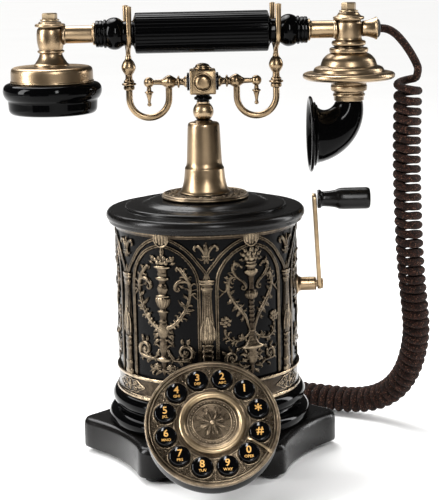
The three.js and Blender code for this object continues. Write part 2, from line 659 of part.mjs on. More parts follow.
const shaftInner = BODY_RADIUS - BODY_WALL - 9;
add('crank_shaft', 'steel', alongX(turned([
  [0, shaftInner], [CRANK_SHAFT_RADIUS + 2, shaftInner], [CRANK_SHAFT_RADIUS + 2, shaftInner + 3.2],
  [CRANK_SHAFT_RADIUS, shaftInner + 3.2], [CRANK_SHAFT_RADIUS, crankArmOuter + GAP],
  [CRANK_SHAFT_RADIUS + 1.8, crankArmOuter + GAP], [CRANK_SHAFT_RADIUS + 1.4, crankArmOuter + 1.6],
  [0, crankArmOuter + 2.4],
])).translate(0, 0, crankHeight));

const knobInner = crankArmOuter - CRANK_ARM_LEAN + 0.8;
function crankArm() {
  const outline = new THREE.Shape();
  const half = CRANK_ARM_WIDTH / 2;
  outline.absarc(0, CRANK_RADIUS, half, 0, Math.PI, false);
  outline.lineTo(-half, 0);
  outline.absarc(0, 0, half, Math.PI, 2 * Math.PI, false);
  outline.closePath();
  const hole = new THREE.Path();
  hole.absarc(0, 0, shaftBore - 0.05, 0, 2 * Math.PI, true);
  outline.holes.push(hole);
  const strip = new THREE.ExtrudeGeometry(outline, {
    depth: CRANK_ARM_THICKNESS, bevelEnabled: false, curveSegments: 6,
  });
  // Stand the strip up in the YZ plane, then lean it.
  const lean = -CRANK_ARM_LEAN / CRANK_RADIUS;
  strip.applyMatrix4(new THREE.Matrix4().makeBasis(
    new THREE.Vector3(0, 1, 0), new THREE.Vector3(lean, 0, 1), new THREE.Vector3(1, 0, 0)));
  strip.translate(crankArmInner, 0, crankHeight);
  const pin = alongX(rod(CRANK_PIN_RADIUS, knobInner - 2, knobInner + KNOB_LENGTH - 8, 12))
    .translate(0, 0, crankHeight + CRANK_RADIUS);
  return join(strip, pin);
}
add('crank_arm', 'antique', crankArm());

const pinBore = CRANK_PIN_RADIUS + RUNNING_GAP;
add('crank_knob', 'black', alongX(turned([
  [0, KNOB_LENGTH - 6], [pinBore, KNOB_LENGTH - 6], [pinBore, 0], [6.4, 0], [6.4, 2.2], [5.3, 3.2],
  [5.3, KNOB_LENGTH * 0.38], [KNOB_RADIUS, KNOB_LENGTH * 0.62], [KNOB_RADIUS, KNOB_LENGTH * 0.86],
  [KNOB_RADIUS * 0.8, KNOB_LENGTH * 0.96], [0, KNOB_LENGTH],
])).translate(knobInner, 0, crankHeight + CRANK_RADIUS));

// ---------------------------------------------------------------- cradle
add('cradle_spindle', 'steel', rod(SPINDLE_RADIUS, spindleBottom, blockTop - BLOCK_HEIGHT * 0.3));

function cradleBlock() {
  const half = BLOCK_SIZE / 2;
  const edge = 1.2;
  const square = new THREE.Shape();
  square.moveTo(-half + edge, -half + edge);
  square.lineTo(half - edge, -half + edge);
  square.lineTo(half - edge, half - edge);
  square.lineTo(-half + edge, half - edge);
  square.closePath();
  const cube = new THREE.ExtrudeGeometry(square, {
    depth: BLOCK_HEIGHT - 2 * edge, bevelThickness: edge, bevelSize: edge, bevelSegments: 1,
  }).translate(0, 0, blockBottom + edge);
  const boss = (turn) => turned([
    [0, half - 1], [BOSS_RADIUS, half - 1], [BOSS_RADIUS, half + BOSS_DEPTH * 0.4],
    [BOSS_RADIUS - 1.2, half + BOSS_DEPTH * 0.5], [BOSS_RADIUS * 0.5, half + BOSS_DEPTH],
    [0, half + BOSS_DEPTH * 1.1],
  ]).rotateX(turn).translate(0, 0, armHeight);
  const bore = rod(SPINDLE_RADIUS + GAP, blockBottom - 1, blockTop - BLOCK_HEIGHT * 0.3 + GAP);
  return cut(join(cube, boss(Math.PI / 2), boss(-Math.PI / 2)), bore);
}
add('cradle_block', 'antique', cradleBlock());
add('block_cap', 'antique', turned([
  [0, blockTop + GAP], [6.1, blockTop + GAP], [6.1, blockTop + 1.2], [5, blockTop + 2.8],
  [2.4, blockTop + BLOCK_CAP - 0.3], [0, blockTop + BLOCK_CAP],
]));

const hookCentre = (HOOK_REACH + HOOK_INNER) / 2;
const hookRadius = (HOOK_REACH - HOOK_INNER) / 2;
const hookLow = armHeight - 10.3;
const forkInner = NECK_RADIUS + 0.5;
const forkCentre = forkInner + FORK_WIRE;

// One cast hook on the +X side: arm, finial, U-shaped hook and two-pronged fork.
function hook() {
  const side = BLOCK_SIZE / 2 + GAP;
  const arm = alongX(turned([
    [0, side], [COLLAR_RADIUS, side], [COLLAR_RADIUS, side + 1.6], [3, side + 2.4],
    [2.4, HOOK_INNER - HOOK_BULB_RADIUS - 1.6], [3.8, HOOK_INNER - HOOK_BULB_RADIUS - 0.4],
    [HOOK_BULB_RADIUS, HOOK_INNER - 1], [HOOK_BULB_RADIUS, HOOK_INNER + 1],
    [2, HOOK_INNER + HOOK_BULB_RADIUS], [1.6, hookCentre - 2.8],
    [3.3, hookCentre - 1], [3.3, hookCentre + 1], [0, hookCentre + 3.2],
  ], 8)).translate(0, 0, armHeight);
  const finial = turned([
    [0, armHeight - 16], [1.5, armHeight - 14.6], [0.9, armHeight - 11], [2.8, armHeight - 6.6],
    [1.2, armHeight - 3], [1.2, armHeight], [0, armHeight],
  ], 6).translate(hookCentre, 0, 0);
  const at = (x, z) => new THREE.Vector3(x, 0, z);
  const steps = 6;
  const around = (i) => at(hookCentre - hookRadius * Math.cos(Math.PI * i / steps),
    hookLow - hookRadius * Math.sin(Math.PI * i / steps));
  const wire = [at(HOOK_INNER, armHeight), at(HOOK_INNER, hookLow)];
  for (let i = 1; i < steps; i += 1) wire.push(around(i));
  wire.push(at(HOOK_REACH, hookLow), at(HOOK_REACH, armHeight));
  const loop = bentBar(wire, new THREE.Vector3(0, 1, 0), HOOK_TUBE, 7);
  const ballHeight = armHeight + 10.4;
  const crotch = handsetHeight - forkCentre;
  const post = turned([
    [0, armHeight - 4.5], [3.6, armHeight - 4.5], [HOOK_COLLAR_RADIUS, armHeight - 2.4],
    [HOOK_COLLAR_RADIUS, armHeight + 1.6], [3.4, armHeight + 3.4], [2, armHeight + 5.6],
    [HOOK_BALL_RADIUS * 0.8, ballHeight - HOOK_BALL_RADIUS * 0.6], [HOOK_BALL_RADIUS, ballHeight],
    [HOOK_BALL_RADIUS * 0.8, ballHeight + HOOK_BALL_RADIUS * 0.6], [2.3, ballHeight + 5.4],
    [1.8, crotch - 1], [0, crotch],
  ], 10).translate(HOOK_REACH, 0, 0);
  const tip = handsetHeight + FORK_HEIGHT;
  const across = (y, z) => new THREE.Vector3(HOOK_REACH, y, z);
  const prongs = [across(-forkCentre, tip), across(-forkCentre, handsetHeight)];
  for (let i = 1; i < steps; i += 1) {
    prongs.push(across(-forkCentre * Math.cos(Math.PI * i / steps),
      handsetHeight - forkCentre * Math.sin(Math.PI * i / steps)));
  }
  prongs.push(across(forkCentre, handsetHeight), across(forkCentre, tip));
  const fork = bentBar(prongs, new THREE.Vector3(1, 0, 0), FORK_WIRE, 6);
  return join(arm, finial, loop, post, fork);
}

// A round bar through a flat list of points; side is the normal of the plane that they lie in.
function bentBar(points, side, radius, sides = TUBE_SIDES) {
  const rings = points.map((point, index) => {
    const before = points[Math.max(index - 1, 0)];
    const after = points[Math.min(index + 1, points.length - 1)];
    const ahead = after.clone().sub(before).normalize();
    const up = new THREE.Vector3().crossVectors(ahead, side);
    return Array.from({ length: sides }, (unused, i) => {
      const angle = 2 * Math.PI * i / sides;
      return point.clone()
        .addScaledVector(side, radius * Math.cos(angle))
        .addScaledVector(up, radius * Math.sin(angle));
    });
  });
  return capped(rings);
}

// The skin through a row of rings, closed at both ends by a fan to the middle of the ring.
function capped(rings) {
  const count = rings[0].length;
  const positions = rings.flat().flatMap((point) => point.toArray());
  const indices = [];
  for (let r = 0; r < rings.length - 1; r += 1) {
    for (let i = 0; i < count; i += 1) {
      const j = (i + 1) % count;
      indices.push(r * count + i, r * count + j, (r + 1) * count + j);
      indices.push(r * count + i, (r + 1) * count + j, (r + 1) * count + i);
    }
  }
  const last = (rings.length - 1) * count;
  for (let i = 1; i < count - 1; i += 1) {
    indices.push(0, i + 1, i);
    indices.push(last, last + i, last + i + 1);
  }
  const geometry = new THREE.BufferGeometry();
  geometry.setAttribute('position', new THREE.Float32BufferAttribute(positions, 3));
  geometry.setIndex(indices);
  return geometry;
}

const rightHook = hook();
add('hook_right', 'antique', rightHook);
add('hook_left', 'antique', mirrored(rightHook.clone()));

// ---------------------------------------------------------------- handset
const neckInner = HOOK_REACH - NECK_HALF;
const neckOuter = HOOK_REACH + NECK_HALF;
const beadEnd = neckOuter + 1 + BEAD_LENGTH;

function handleGrip() {
  const sides = GRIP_FLUTES * 2;
  const stations = [
    [-beadEnd, 7], [-beadEnd + 2, BEAD_RADIUS - 1], [-beadEnd + 5, BEAD_RADIUS],
    [-neckOuter - 3, BEAD_RADIUS - 0.6], [-neckOuter, NECK_RADIUS], [-neckInner, NECK_RADIUS],
    [-neckInner + 0.8, NECK_RADIUS + 1.2], [-GRIP_HALF - 0.6, GRIP_RADIUS - 1.6],
    [-GRIP_HALF, GRIP_RADIUS - 0.6, 0.6], [-GRIP_HALF + 2, GRIP_RADIUS, 1],
  ];
  const mirroredStations = stations.slice().reverse().map(([x, ...rest]) => [-x, ...rest]);
  const rings = [...stations, ...mirroredStations].map(([x, radius, flute = 0]) => (
    Array.from({ length: sides }, (unused, i) => {
      const angle = 2 * Math.PI * i / sides;
      const r = radius - flute * (i % 2);
      return new THREE.Vector3(x, r * Math.cos(angle), handsetHeight + r * Math.sin(angle));
    })));
  return capped(rings);
}
add('handle_grip', 'black', handleGrip());

const collarEnd = beadEnd + GAP + 5.4;
const tubeProfile = (end) => [
  [0, beadEnd + GAP], [8.4, beadEnd + GAP], [8.4, collarEnd - 3.6], [6.8, collarEnd - 2.6],
  [6.8, collarEnd - 1], [TUBE_RADIUS, collarEnd], [TUBE_RADIUS, end], [0, end],
];
const receiverStemRadius = 8.8;
add('tube_left', 'antique', mirrored(
  alongX(turned(tubeProfile(RECEIVER_REACH - receiverStemRadius - GAP))).translate(0, 0, handsetHeight)));
add('tube_right', 'antique', alongX(turned(tubeProfile(TRANSMITTER_REACH - TRANSMITTER_STEM_RADIUS - GAP)))
  .translate(0, 0, handsetHeight));

// The receiver hangs from the left end, built about its own upright axis.
const receiver = new THREE.Group();
receiver.position.set(-RECEIVER_REACH, 0, handsetHeight);
group.add(receiver);
const cupTop = -RECEIVER_CUP_DROP;
const cupBottom = cupTop - RECEIVER_CUP_DEPTH;
add('receiver_stem', 'antique', turned([
  [0, cupTop + GAP], [11.6, cupTop + GAP], [10, cupTop + 3.4], [7.7, cupTop + 8], [8.2, cupTop + 10.4],
  [7, cupTop + 11.4], [receiverStemRadius, -4], [receiverStemRadius, 3.6], [7.6, 5], [7.6, 6],
  [9.7, 6.4], [9.7, 9], [0, 9],
]), receiver);
add('receiver_nut', 'bright', turned([
  [0, 9 + GAP], [5, 9 + GAP], [5, 12.8], [4, 14.2], [0, 14.4],
], 6), receiver);
const cupInner = RECEIVER_CUP_RADIUS - RECEIVER_CUP_WALL;
add('receiver_shell', 'antique', turned([
  [0, cupTop - RECEIVER_CUP_WALL], [cupInner - 3, cupTop - RECEIVER_CUP_WALL - 1],
  [cupInner, cupTop - 4.4], [cupInner, cupBottom], [RECEIVER_CUP_RADIUS, cupBottom],
  [RECEIVER_CUP_RADIUS, cupTop - 3.4], [RECEIVER_CUP_RADIUS - 2.4, cupTop - 1], [12.4, cupTop], [0, cupTop],
], 24), receiver);
add('receiver_capsule', 'steel', turned([
  [0, cupBottom - 3], [cupInner - 2, cupBottom - 3], [cupInner - 2, cupBottom + 3],
  [cupInner - 8, cupBottom + 5.4], [0, cupBottom + 5.4],
], 16), receiver);
const capTop = cupBottom - GAP;
const capBottom = capTop - RECEIVER_CAP_DEPTH;
add('receiver_cap', 'black', turnedRing([
  [2.2, capTop - 9], [RECEIVER_EAR_RADIUS - 6, capTop - 9.6], [RECEIVER_EAR_RADIUS, capBottom + 1.4],
  [RECEIVER_EAR_RADIUS + 1.6, capBottom], [RECEIVER_LIP_RADIUS - 1.4, capBottom],
  [RECEIVER_LIP_RADIUS, capBottom + 1.4], [RECEIVER_LIP_RADIUS, capBottom + 7],
  [RECEIVER_CAP_RADIUS - 1.4, capBottom + 9], [RECEIVER_CAP_RADIUS, capTop - 7],
  [RECEIVER_CAP_RADIUS - 0.4, capTop - 3.2], [RECEIVER_CAP_RADIUS - 2.6, capTop],
  [cupInner - 1.4, capTop], [cupInner - 1.4, capTop - 6], [2.2, capTop - 6],
], 24), receiver);

// The transmitter hangs from the right end: stem, bell flange and curved horn.
const transmitter = new THREE.Group();
transmitter.position.set(TRANSMITTER_REACH, 0, handsetHeight);
group.add(transmitter);
const bellBottom = -BELL_DROP;
const bellTop = bellBottom + 18.2;
add('transmitter_stem', 'antique', turned([
  [0, bellTop + GAP], [12.4, bellTop + GAP], [12.4, bellTop + 3], [9.6, bellTop + 3.6],
  [11.1, bellTop + 5.4], [11.1, bellTop + 7.2], [TRANSMITTER_STEM_RADIUS - 1, bellTop + 8.6],
  [TRANSMITTER_STEM_RADIUS, -5], [TRANSMITTER_STEM_RADIUS, 5.6], [10, 7.2], [10, 9.6], [7.2, 11], [0, 11],
]), transmitter);
add('transmitter_nut', 'bright', turned([
  [0, 11 + GAP], [5, 11 + GAP], [5, 15.2], [4, 17.2], [0, 17.4],
], 6), transmitter);
const hornTop = bellBottom - BELL_NECK - GAP;
add('transmitter_bell', 'antique', turnedRing([
  [HORN_NECK_RADIUS - 2, hornTop + GAP], [HORN_NECK_RADIUS + 0.7, hornTop + GAP],
  [HORN_NECK_RADIUS + 0.7, hornTop + 6.2], [12, hornTop + 7.4], [12, bellBottom - 2.4],
  [10.6, bellBottom], [BELL_RADIUS - 0.8, bellBottom], [BELL_RADIUS, bellBottom + 1],
  [BELL_RADIUS, bellBottom + BELL_RIM - 1], [BELL_RADIUS - 0.8, bellBottom + BELL_RIM],
  [22.4, bellBottom + BELL_RIM + 0.6], [22, bellBottom + BELL_RIM + 3],
  [17.4, bellBottom + BELL_RIM + 4], [15.6, bellTop - 4], [10, bellTop], [3, bellTop],
  [3, bellTop - BELL_WALL], [9, bellTop - BELL_WALL - 0.4], [13.4, bellTop - 6],
  [15.4, bellBottom + BELL_RIM + 2], [HORN_NECK_RADIUS - 2, bellBottom + BELL_WALL],
], 24), transmitter);
add('microphone_capsule', 'steel', turned([
  [0, bellBottom + BELL_WALL + 4.4], [8, bellBottom + BELL_WALL + 4.4], [12, bellBottom + BELL_RIM + 2.2],
  [12, bellTop - 7], [6, bellTop - 5], [0, bellTop - 5],
]), transmitter);

// The horn's wall: down the outside from the neck to the mouth, then back up the inside.
function hornSkin() {
  const sides = 16;
  const curved = 5;
  const bendAt = (share) => {
    const angle = Math.PI / 2 * share;
    return [
      new THREE.Vector3(-HORN_BEND * (1 - Math.cos(angle)), 0, hornTop - HORN_BEND * Math.sin(angle)),
      new THREE.Vector3(-Math.sin(angle), 0, -Math.cos(angle)),
    ];
  };
  const widen = (share) => HORN_NECK_RADIUS + (20 - HORN_NECK_RADIUS) * share ** 1.1;
  const stations = [];
  for (let i = 0; i <= curved; i += 1) stations.push([...bendAt(i / curved), widen(i / curved)]);
  const [end, ahead] = bendAt(1);
  stations.push([end.clone().addScaledVector(ahead, HORN_FLARE * 0.6), ahead, HORN_MOUTH_RADIUS - 2.4]);
  stations.push([end.clone().addScaledVector(ahead, HORN_FLARE), ahead, HORN_MOUTH_RADIUS]);
  const around = ([centre, direction, radius], shrink) => {
    const up = new THREE.Vector3().crossVectors(direction, new THREE.Vector3(0, 1, 0));
    return Array.from({ length: sides }, (unused, i) => {
      const angle = 2 * Math.PI * i / sides;
      return centre.clone()
        .addScaledVector(new THREE.Vector3(0, 1, 0), (radius - shrink) * Math.cos(angle))
        .addScaledVector(up, (radius - shrink) * Math.sin(angle));
    });
  };
  const outside = stations.map((station) => around(station, 0));
  const inside = stations.map((station) => around(station, HORN_WALL)).reverse();
  return loft([...outside, ...inside]);
}
add('mouthpiece', 'black', hornSkin(), transmitter);

// The cord leaves the right end of the handset through a stub and a rubber gland.
const stubStart = TRANSMITTER_STEM_RADIUS + GAP;
const stubEnd = stubStart + 9.4;
const glandEnd = stubEnd + 2;
add('cord_gland', 'antique', alongX(turned([
  [0, stubStart], [5.2, stubStart], [5.8, stubStart + 4], [7.8, stubEnd], [6.2, stubEnd],
  [5, glandEnd], [0, glandEnd],
])), transmitter);

// ---------------------------------------------------------------- handset cord
// Plain lead from the gland to the top of the coil, then the coil's outer shape down, behind the
// plinth and into the rear grommet. The points are chosen by hand, in the object's own place.
const LEAD_POINTS = [
  [118.8, 0, 286.8], [123.2, 0, 286.2], [128.4, 0, 283.4], [133.4, 0, 278.4], [138.6, 0, 271.6],
  [142.4, 0, 265], [143.6, 0, 261],
  [143.8, 0, 257.5],
];
const COIL_POINTS = [
  [143.8, 0, 257.1], [143.4, 0, 254], [142, 0.4, 249], [139.4, 1.2, 241], [137.4, 2, 230], [137, 2.6, 212],
  [137.2, 3.2, 188], [138.2, 4.2, 162], [139.6, 5.6, 136], [141.8, 8, 112], [144.6, 12, 92],
  [146.6, 17, 76], [145.8, 24, 60], [142.6, 32, 44], [137.2, 41, 30], [129.4, 50, 19.6],
  [119, 59, 12.6], [106, 67.4, 9.9], [92, 75, 9.6], [77, 83, 9.6], [60, 91, 9.6],
  [43, 96.6, 9.6], [27, 98.6, 9.8], [13.6, 97, 10.8], [4.4, 91.4, 12.4], [0.6, 85, 13.4],
  [0, 80.2, cordExitHeight],
];

const curveThrough = (points) => new THREE.CatmullRomCurve3(
  points.map((point) => new THREE.Vector3(...point)), false, 'centripetal');
add('cord_lead', 'cord', bar(curveThrough(LEAD_POINTS), CORD_DIAMETER / 2, 9));
add('cord_coil', 'cord', bar(curveThrough(COIL_POINTS), COIL_RADIUS, 26, 10));
add('cord_grommet', 'rubber', turned([
  [0, PLINTH_BORE + 8], [GROMMET_RADIUS, PLINTH_BORE + 8], [GROMMET_RADIUS, PLINTH_SIDE + 1],
  [6.2, PLINTH_SIDE + 1.3], [6.2, PLINTH_SIDE + 3], [3.4, grommetTip], [0, grommetTip],
]).rotateX(-Math.PI / 2).translate(0, 0, cordExitHeight));

// The origin is the middle of the footprint without the loose cord, to a whole millimetre.
const footprintLeft = -(RECEIVER_REACH + RECEIVER_CAP_RADIUS);
const footprintRight = TRANSMITTER_REACH + BELL_RADIUS;
const footprintFront = -(DIAL_DISTANCE + DIAL_RADIUS * Math.sin(radians(DIAL_TILT)));
group.position.x = -Math.round((footprintLeft + footprintRight) / 2);
group.position.y = -Math.round((footprintFront + grommetTip) / 2);

export default group;
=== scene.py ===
import math

import bpy
from mathutils import Matrix, Vector


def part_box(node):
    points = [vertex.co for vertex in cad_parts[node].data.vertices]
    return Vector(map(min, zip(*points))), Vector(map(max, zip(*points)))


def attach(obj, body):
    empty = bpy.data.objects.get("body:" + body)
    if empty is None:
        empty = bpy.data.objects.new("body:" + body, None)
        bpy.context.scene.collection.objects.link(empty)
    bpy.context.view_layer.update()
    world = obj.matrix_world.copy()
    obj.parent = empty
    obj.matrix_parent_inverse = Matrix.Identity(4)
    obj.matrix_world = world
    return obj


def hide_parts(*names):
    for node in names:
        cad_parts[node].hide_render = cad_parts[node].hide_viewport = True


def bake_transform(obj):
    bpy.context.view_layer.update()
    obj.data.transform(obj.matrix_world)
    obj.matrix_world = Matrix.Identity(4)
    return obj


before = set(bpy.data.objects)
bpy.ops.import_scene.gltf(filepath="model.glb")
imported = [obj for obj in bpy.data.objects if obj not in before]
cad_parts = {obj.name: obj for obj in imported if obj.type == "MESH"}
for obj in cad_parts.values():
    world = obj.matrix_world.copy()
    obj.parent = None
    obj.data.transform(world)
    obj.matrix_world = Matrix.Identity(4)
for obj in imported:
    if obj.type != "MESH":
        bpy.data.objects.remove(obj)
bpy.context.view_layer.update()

# Antique-style desk telephone. Lengths are millimetres from the body's axis and the table,
# and are turned to metres in the row frame only when a mesh is made.
MM = 0.001
SHELL_LOW, SHELL_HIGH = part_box("body_shell")
AXIS = Vector(((SHELL_LOW[0] + SHELL_HIGH[0]) / 2, (SHELL_LOW[1] + SHELL_HIGH[1]) / 2, 0))


def low(node, axis=2):
    return (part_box(node)[0][axis] - AXIS[axis]) / MM


def high(node, axis=2):
    return (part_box(node)[1][axis] - AXIS[axis]) / MM


def middle(node, axis):
    return (low(node, axis) + high(node, axis)) / 2


# ---------------------------------------------------------------- camera
CAMERA_TURN = 0.0227
CAMERA_DIP = 0.1941
CAMERA_ROLL = 0.0197
CAMERA_DISTANCE = 1072.2
CAMERA_TARGET = Vector((9, -0.2, 139.4))
CAMERA_LENS = 113.5

forward = Vector((math.sin(CAMERA_TURN) * math.cos(CAMERA_DIP),
                  math.cos(CAMERA_TURN) * math.cos(CAMERA_DIP), -math.sin(CAMERA_DIP)))
right = Vector((math.cos(CAMERA_TURN), -math.sin(CAMERA_TURN), 0))
upright = right.cross(forward)
rolled_right = right * math.cos(CAMERA_ROLL) - upright * math.sin(CAMERA_ROLL)
rolled_up = right * math.sin(CAMERA_ROLL) + upright * math.cos(CAMERA_ROLL)
camera_data = bpy.data.cameras.new("camera")
camera_data.lens = CAMERA_LENS
camera_data.clip_end = 60
camera = bpy.data.objects.new("camera", camera_data)
bpy.context.scene.collection.objects.link(camera)
turn = Matrix((rolled_right, rolled_up, -forward)).transposed().to_4x4()
camera.matrix_world = Matrix.Translation(
    AXIS + (CAMERA_TARGET - forward * CAMERA_DISTANCE) * MM) @ turn
bpy.context.scene.camera = camera


# ---------------------------------------------------------------- shapes in millimetres
class Shape:
    """Points and faces that grow into one mesh."""

    def __init__(self, points=(), faces=()):
        self.points = [Vector(p) for p in points]
        self.faces = [list(f) for f in faces]

    def add(self, other, place=None):
        base = len(self.points)
        self.points += [place @ p if place else p.copy() for p in other.points]
        self.faces += [[base + i for i in face] for face in other.faces]
        return self

    def moved(self, place):
        return Shape().add(self, place)

    def bent(self, rule):
        return Shape([rule(p) for p in self.points], self.faces)


def shift(x=0, y=0, z=0):
    return Matrix.Translation((x, y, z))


def spin(degrees, axis="Z"):
    return Matrix.Rotation(math.radians(degrees), 4, axis)


def rounded(profile, radius=0.4, steps=3, closed=False):
    """A [radius, height] outline with its corners eased. A third number is a corner's own radius."""
    points = [Vector(p[:2]) for p in profile]
    eased = []
    last = len(points) - 1
    for i, point in enumerate(points):
        own = profile[i][2] if len(profile[i]) > 2 else radius
        if not closed and (i in (0, last) or point.x == 0):
            eased.append(point)
            continue
        before, after = points[i - 1] - point, points[(i + 1) % len(points)] - point
        if min(before.length, after.length) < 1e-6 or own == 0:
            eased.append(point)
            continue
        start = point + before.normalized() * min(own, before.length * 0.48)
        end = point + after.normalized() * min(own, after.length * 0.48)
        for k in range(steps + 1):
            t = k / steps
            eased.append(start * (1 - t) ** 2 + point * 2 * t * (1 - t) + end * t * t)
    return eased


def lathe(profile, segments=96, closed=False, flutes=0, depth=0.0):
    """A turned form, its outline listed upwards along the outside. Flutes cut depth into it."""
    shape = Shape()
    rings = []
    for radius, height in profile:
        if radius < 1e-6:
            rings.append([len(shape.points)])
            shape.points.append(Vector((0, 0, height)))
            continue
        ring = []
        for j in range(segments):
            angle = 2 * math.pi * j / segments
            reach = radius * (1 - depth * abs(math.sin(flutes * angle / 2))) if flutes else radius
            ring.append(len(shape.points))
            shape.points.append(Vector((reach * math.cos(angle), reach * math.sin(angle), height)))
        rings.append(ring)
    pairs = list(zip(rings, rings[1:])) + ([(rings[-1], rings[0])] if closed else [])
    for lower, upper in pairs:
        for j in range(segments):
            k = (j + 1) % segments
            if len(lower) == 1 and len(upper) > 1:
                shape.faces.append([lower[0], upper[k], upper[j]])
            elif len(upper) == 1 and len(lower) > 1:
                shape.faces.append([lower[j], lower[k], upper[0]])
            elif len(upper) > 1:
                shape.faces.append([lower[j], lower[k], upper[k], upper[j]])
    return shape


def curve(points, steps=6):
    """A smooth line through the points."""
    points = [Vector(p) for p in points]
    last = len(points) - 1
    line = []
    for i in range(last):
        b, c = points[i], points[i + 1]
        a = points[i - 1] if i else b * 2 - c
        d = points[i + 2] if i + 2 <= last else c * 2 - b
        for k in range(steps):
            t = k / steps
            line.append(0.5 * (2 * b + (c - a) * t + (2 * a - 5 * b + 4 * c - d) * t * t
                               + (3 * b - a - 3 * c + d) * t ** 3))
    return line + [points[-1]]


def spread(values, count):
    """One number, or a few spread evenly, for each of count places."""
    if not isinstance(values, (list, tuple)):
        return [values] * count
    spaced = []
    for i in range(count):
        place = (len(values) - 1) * i / (count - 1)
        k = min(int(place), len(values) - 2)
        spaced.append(values[k] + (values[k + 1] - values[k]) * (place - k))
    return spaced


def skin(rings, close_ends=True, cap=None):
    """Rings of points, each anticlockwise about the way along, joined into one skin."""
    shape = Shape()
    count = len(rings[0])
    for ring in rings:
        shape.points += ring
    for i in range(len(rings) - 1):
        for j in range(count):
            k = (j + 1) % count
            shape.faces.append([i * count + j, i * count + k, (i + 1) * count + k, (i + 1) * count + j])
    if close_ends:
        first, last = cap or (sum(rings[0], Vector()) / count, sum(rings[-1], Vector()) / count)
        top = (len(rings) - 1) * count
        for pole, order in ((first, -1), (last, 1)):
            shape.points.append(Vector(pole))
            tip = len(shape.points) - 1
            start = 0 if order < 0 else top
            for j in range(count):
                pair = [start + j, start + (j + 1) % count]
                shape.faces.append(pair[::order] + [tip])
    return shape


def bar(path, radius, sides=12, flat=1.0, facing=None, round_end=0.8):
    """A round bar along a line. Flat squeezes it across facing."""
    path = [Vector(p) for p in path]
    count = len(path)
    radii = spread(radius, count)
    ahead = [(path[min(i + 1, count - 1)] - path[max(i - 1, 0)]).normalized() for i in range(count)]
    across = facing or (Vector((0, 0, 1)) if abs(ahead[0].z) < 0.9 else Vector((1, 0, 0)))
    rings = []
    for i in range(count):
        across = (across - ahead[i] * across.dot(ahead[i])).normalized()
        other = ahead[i].cross(across)
        rings.append([path[i] + across * radii[i] * math.cos(2 * math.pi * k / sides)
                      + other * radii[i] * flat * math.sin(2 * math.pi * k / sides)
                      for k in range(sides)])
    ends = (path[0] - ahead[0] * radii[0] * round_end, path[-1] + ahead[-1] * radii[-1] * round_end)
    return skin(rings, cap=ends)


def ball(radius, centre=(0, 0, 0), rings=10, segments=20):
    profile = [(radius * math.sin(math.pi * i / rings) if 0 < i < rings else 0,
                -radius * math.cos(math.pi * i / rings)) for i in range(rings + 1)]
    return lathe(profile, segments).moved(shift(*centre))


def along_x(shape, x=0, z=0):
    return shape.moved(shift(x, 0, z) @ spin(90, "Y"))


def block(size, edge=0.6, steps=3):
    """A box about the origin with rounded edges."""
    half = [s / 2 for s in size]
    ring = []
    for k in range(4):
        corner = math.pi / 2 * k
        sx, sy = ((1, 1), (-1, 1), (-1, -1), (1, -1))[k]
        for i in range(steps + 1):
            angle = corner + math.pi / 2 * i / steps
            ring.append((sx * (half[0] - edge), sy * (half[1] - edge), math.cos(angle), math.sin(angle)))
    rings = []
    for lower in (True, False):
        for i in range(steps + 1):
            angle = math.pi / 2 * i / steps
            out, rise = (math.sin(angle), math.cos(angle)) if lower else (math.cos(angle), -math.sin(angle))
            z = -(half[2] - edge + edge * rise) if lower else half[2] - edge - edge * rise
            rings.append([Vector((x + edge * out * c, y + edge * out * s, z)) for x, y, c, s in ring])
    return skin(rings)


# ---------------------------------------------------------------- copies round an axis
def axis_copies_tree():
    """Count copies of a shape, evenly turned about Z from a start angle."""
    tree = bpy.data.node_groups.new("copies_round_axis", "GeometryNodeTree")
    sockets = tree.interface
    sockets.new_socket("Geometry", in_out="INPUT", socket_type="NodeSocketGeometry")
    for name, kind in (("Count", "NodeSocketInt"), ("Start angle", "NodeSocketFloat")):
        sockets.new_socket(name, in_out="INPUT", socket_type=kind)
    sockets.new_socket("Geometry", in_out="OUTPUT", socket_type="NodeSocketGeometry")
    nodes, links = tree.nodes, tree.links
    given = nodes.new("NodeGroupInput")
    result = nodes.new("NodeGroupOutput")
    places = nodes.new("GeometryNodeMeshLine")
    places.inputs["Offset"].default_value = (0, 0, 0)
    index = nodes.new("GeometryNodeInputIndex")
    step = nodes.new("ShaderNodeMath")
    step.operation = "DIVIDE"
    step.inputs[0].default_value = 2 * math.pi
    angle = nodes.new("ShaderNodeMath")
    angle.operation = "MULTIPLY_ADD"
    about = nodes.new("ShaderNodeCombineXYZ")
    rotation = nodes.new("FunctionNodeEulerToRotation")
    copies = nodes.new("GeometryNodeInstanceOnPoints")
    real = nodes.new("GeometryNodeRealizeInstances")
    for start, end in (
        (given.outputs["Count"], places.inputs["Count"]),
        (given.outputs["Count"], step.inputs[1]),
        (index.outputs[0], angle.inputs[0]), (step.outputs[0], angle.inputs[1]),
        (given.outputs["Start angle"], angle.inputs[2]),
        (angle.outputs[0], about.inputs["Z"]), (about.outputs[0], rotation.inputs[0]),
        (places.outputs[0], copies.inputs["Points"]),
        (given.outputs["Geometry"], copies.inputs["Instance"]),
        (rotation.outputs[0], copies.inputs["Rotation"]),
        (copies.outputs[0], real.inputs[0]), (real.outputs[0], result.inputs[0]),
    ):
        links.new(start, end)
    return tree


AXIS_COPIES = axis_copies_tree()


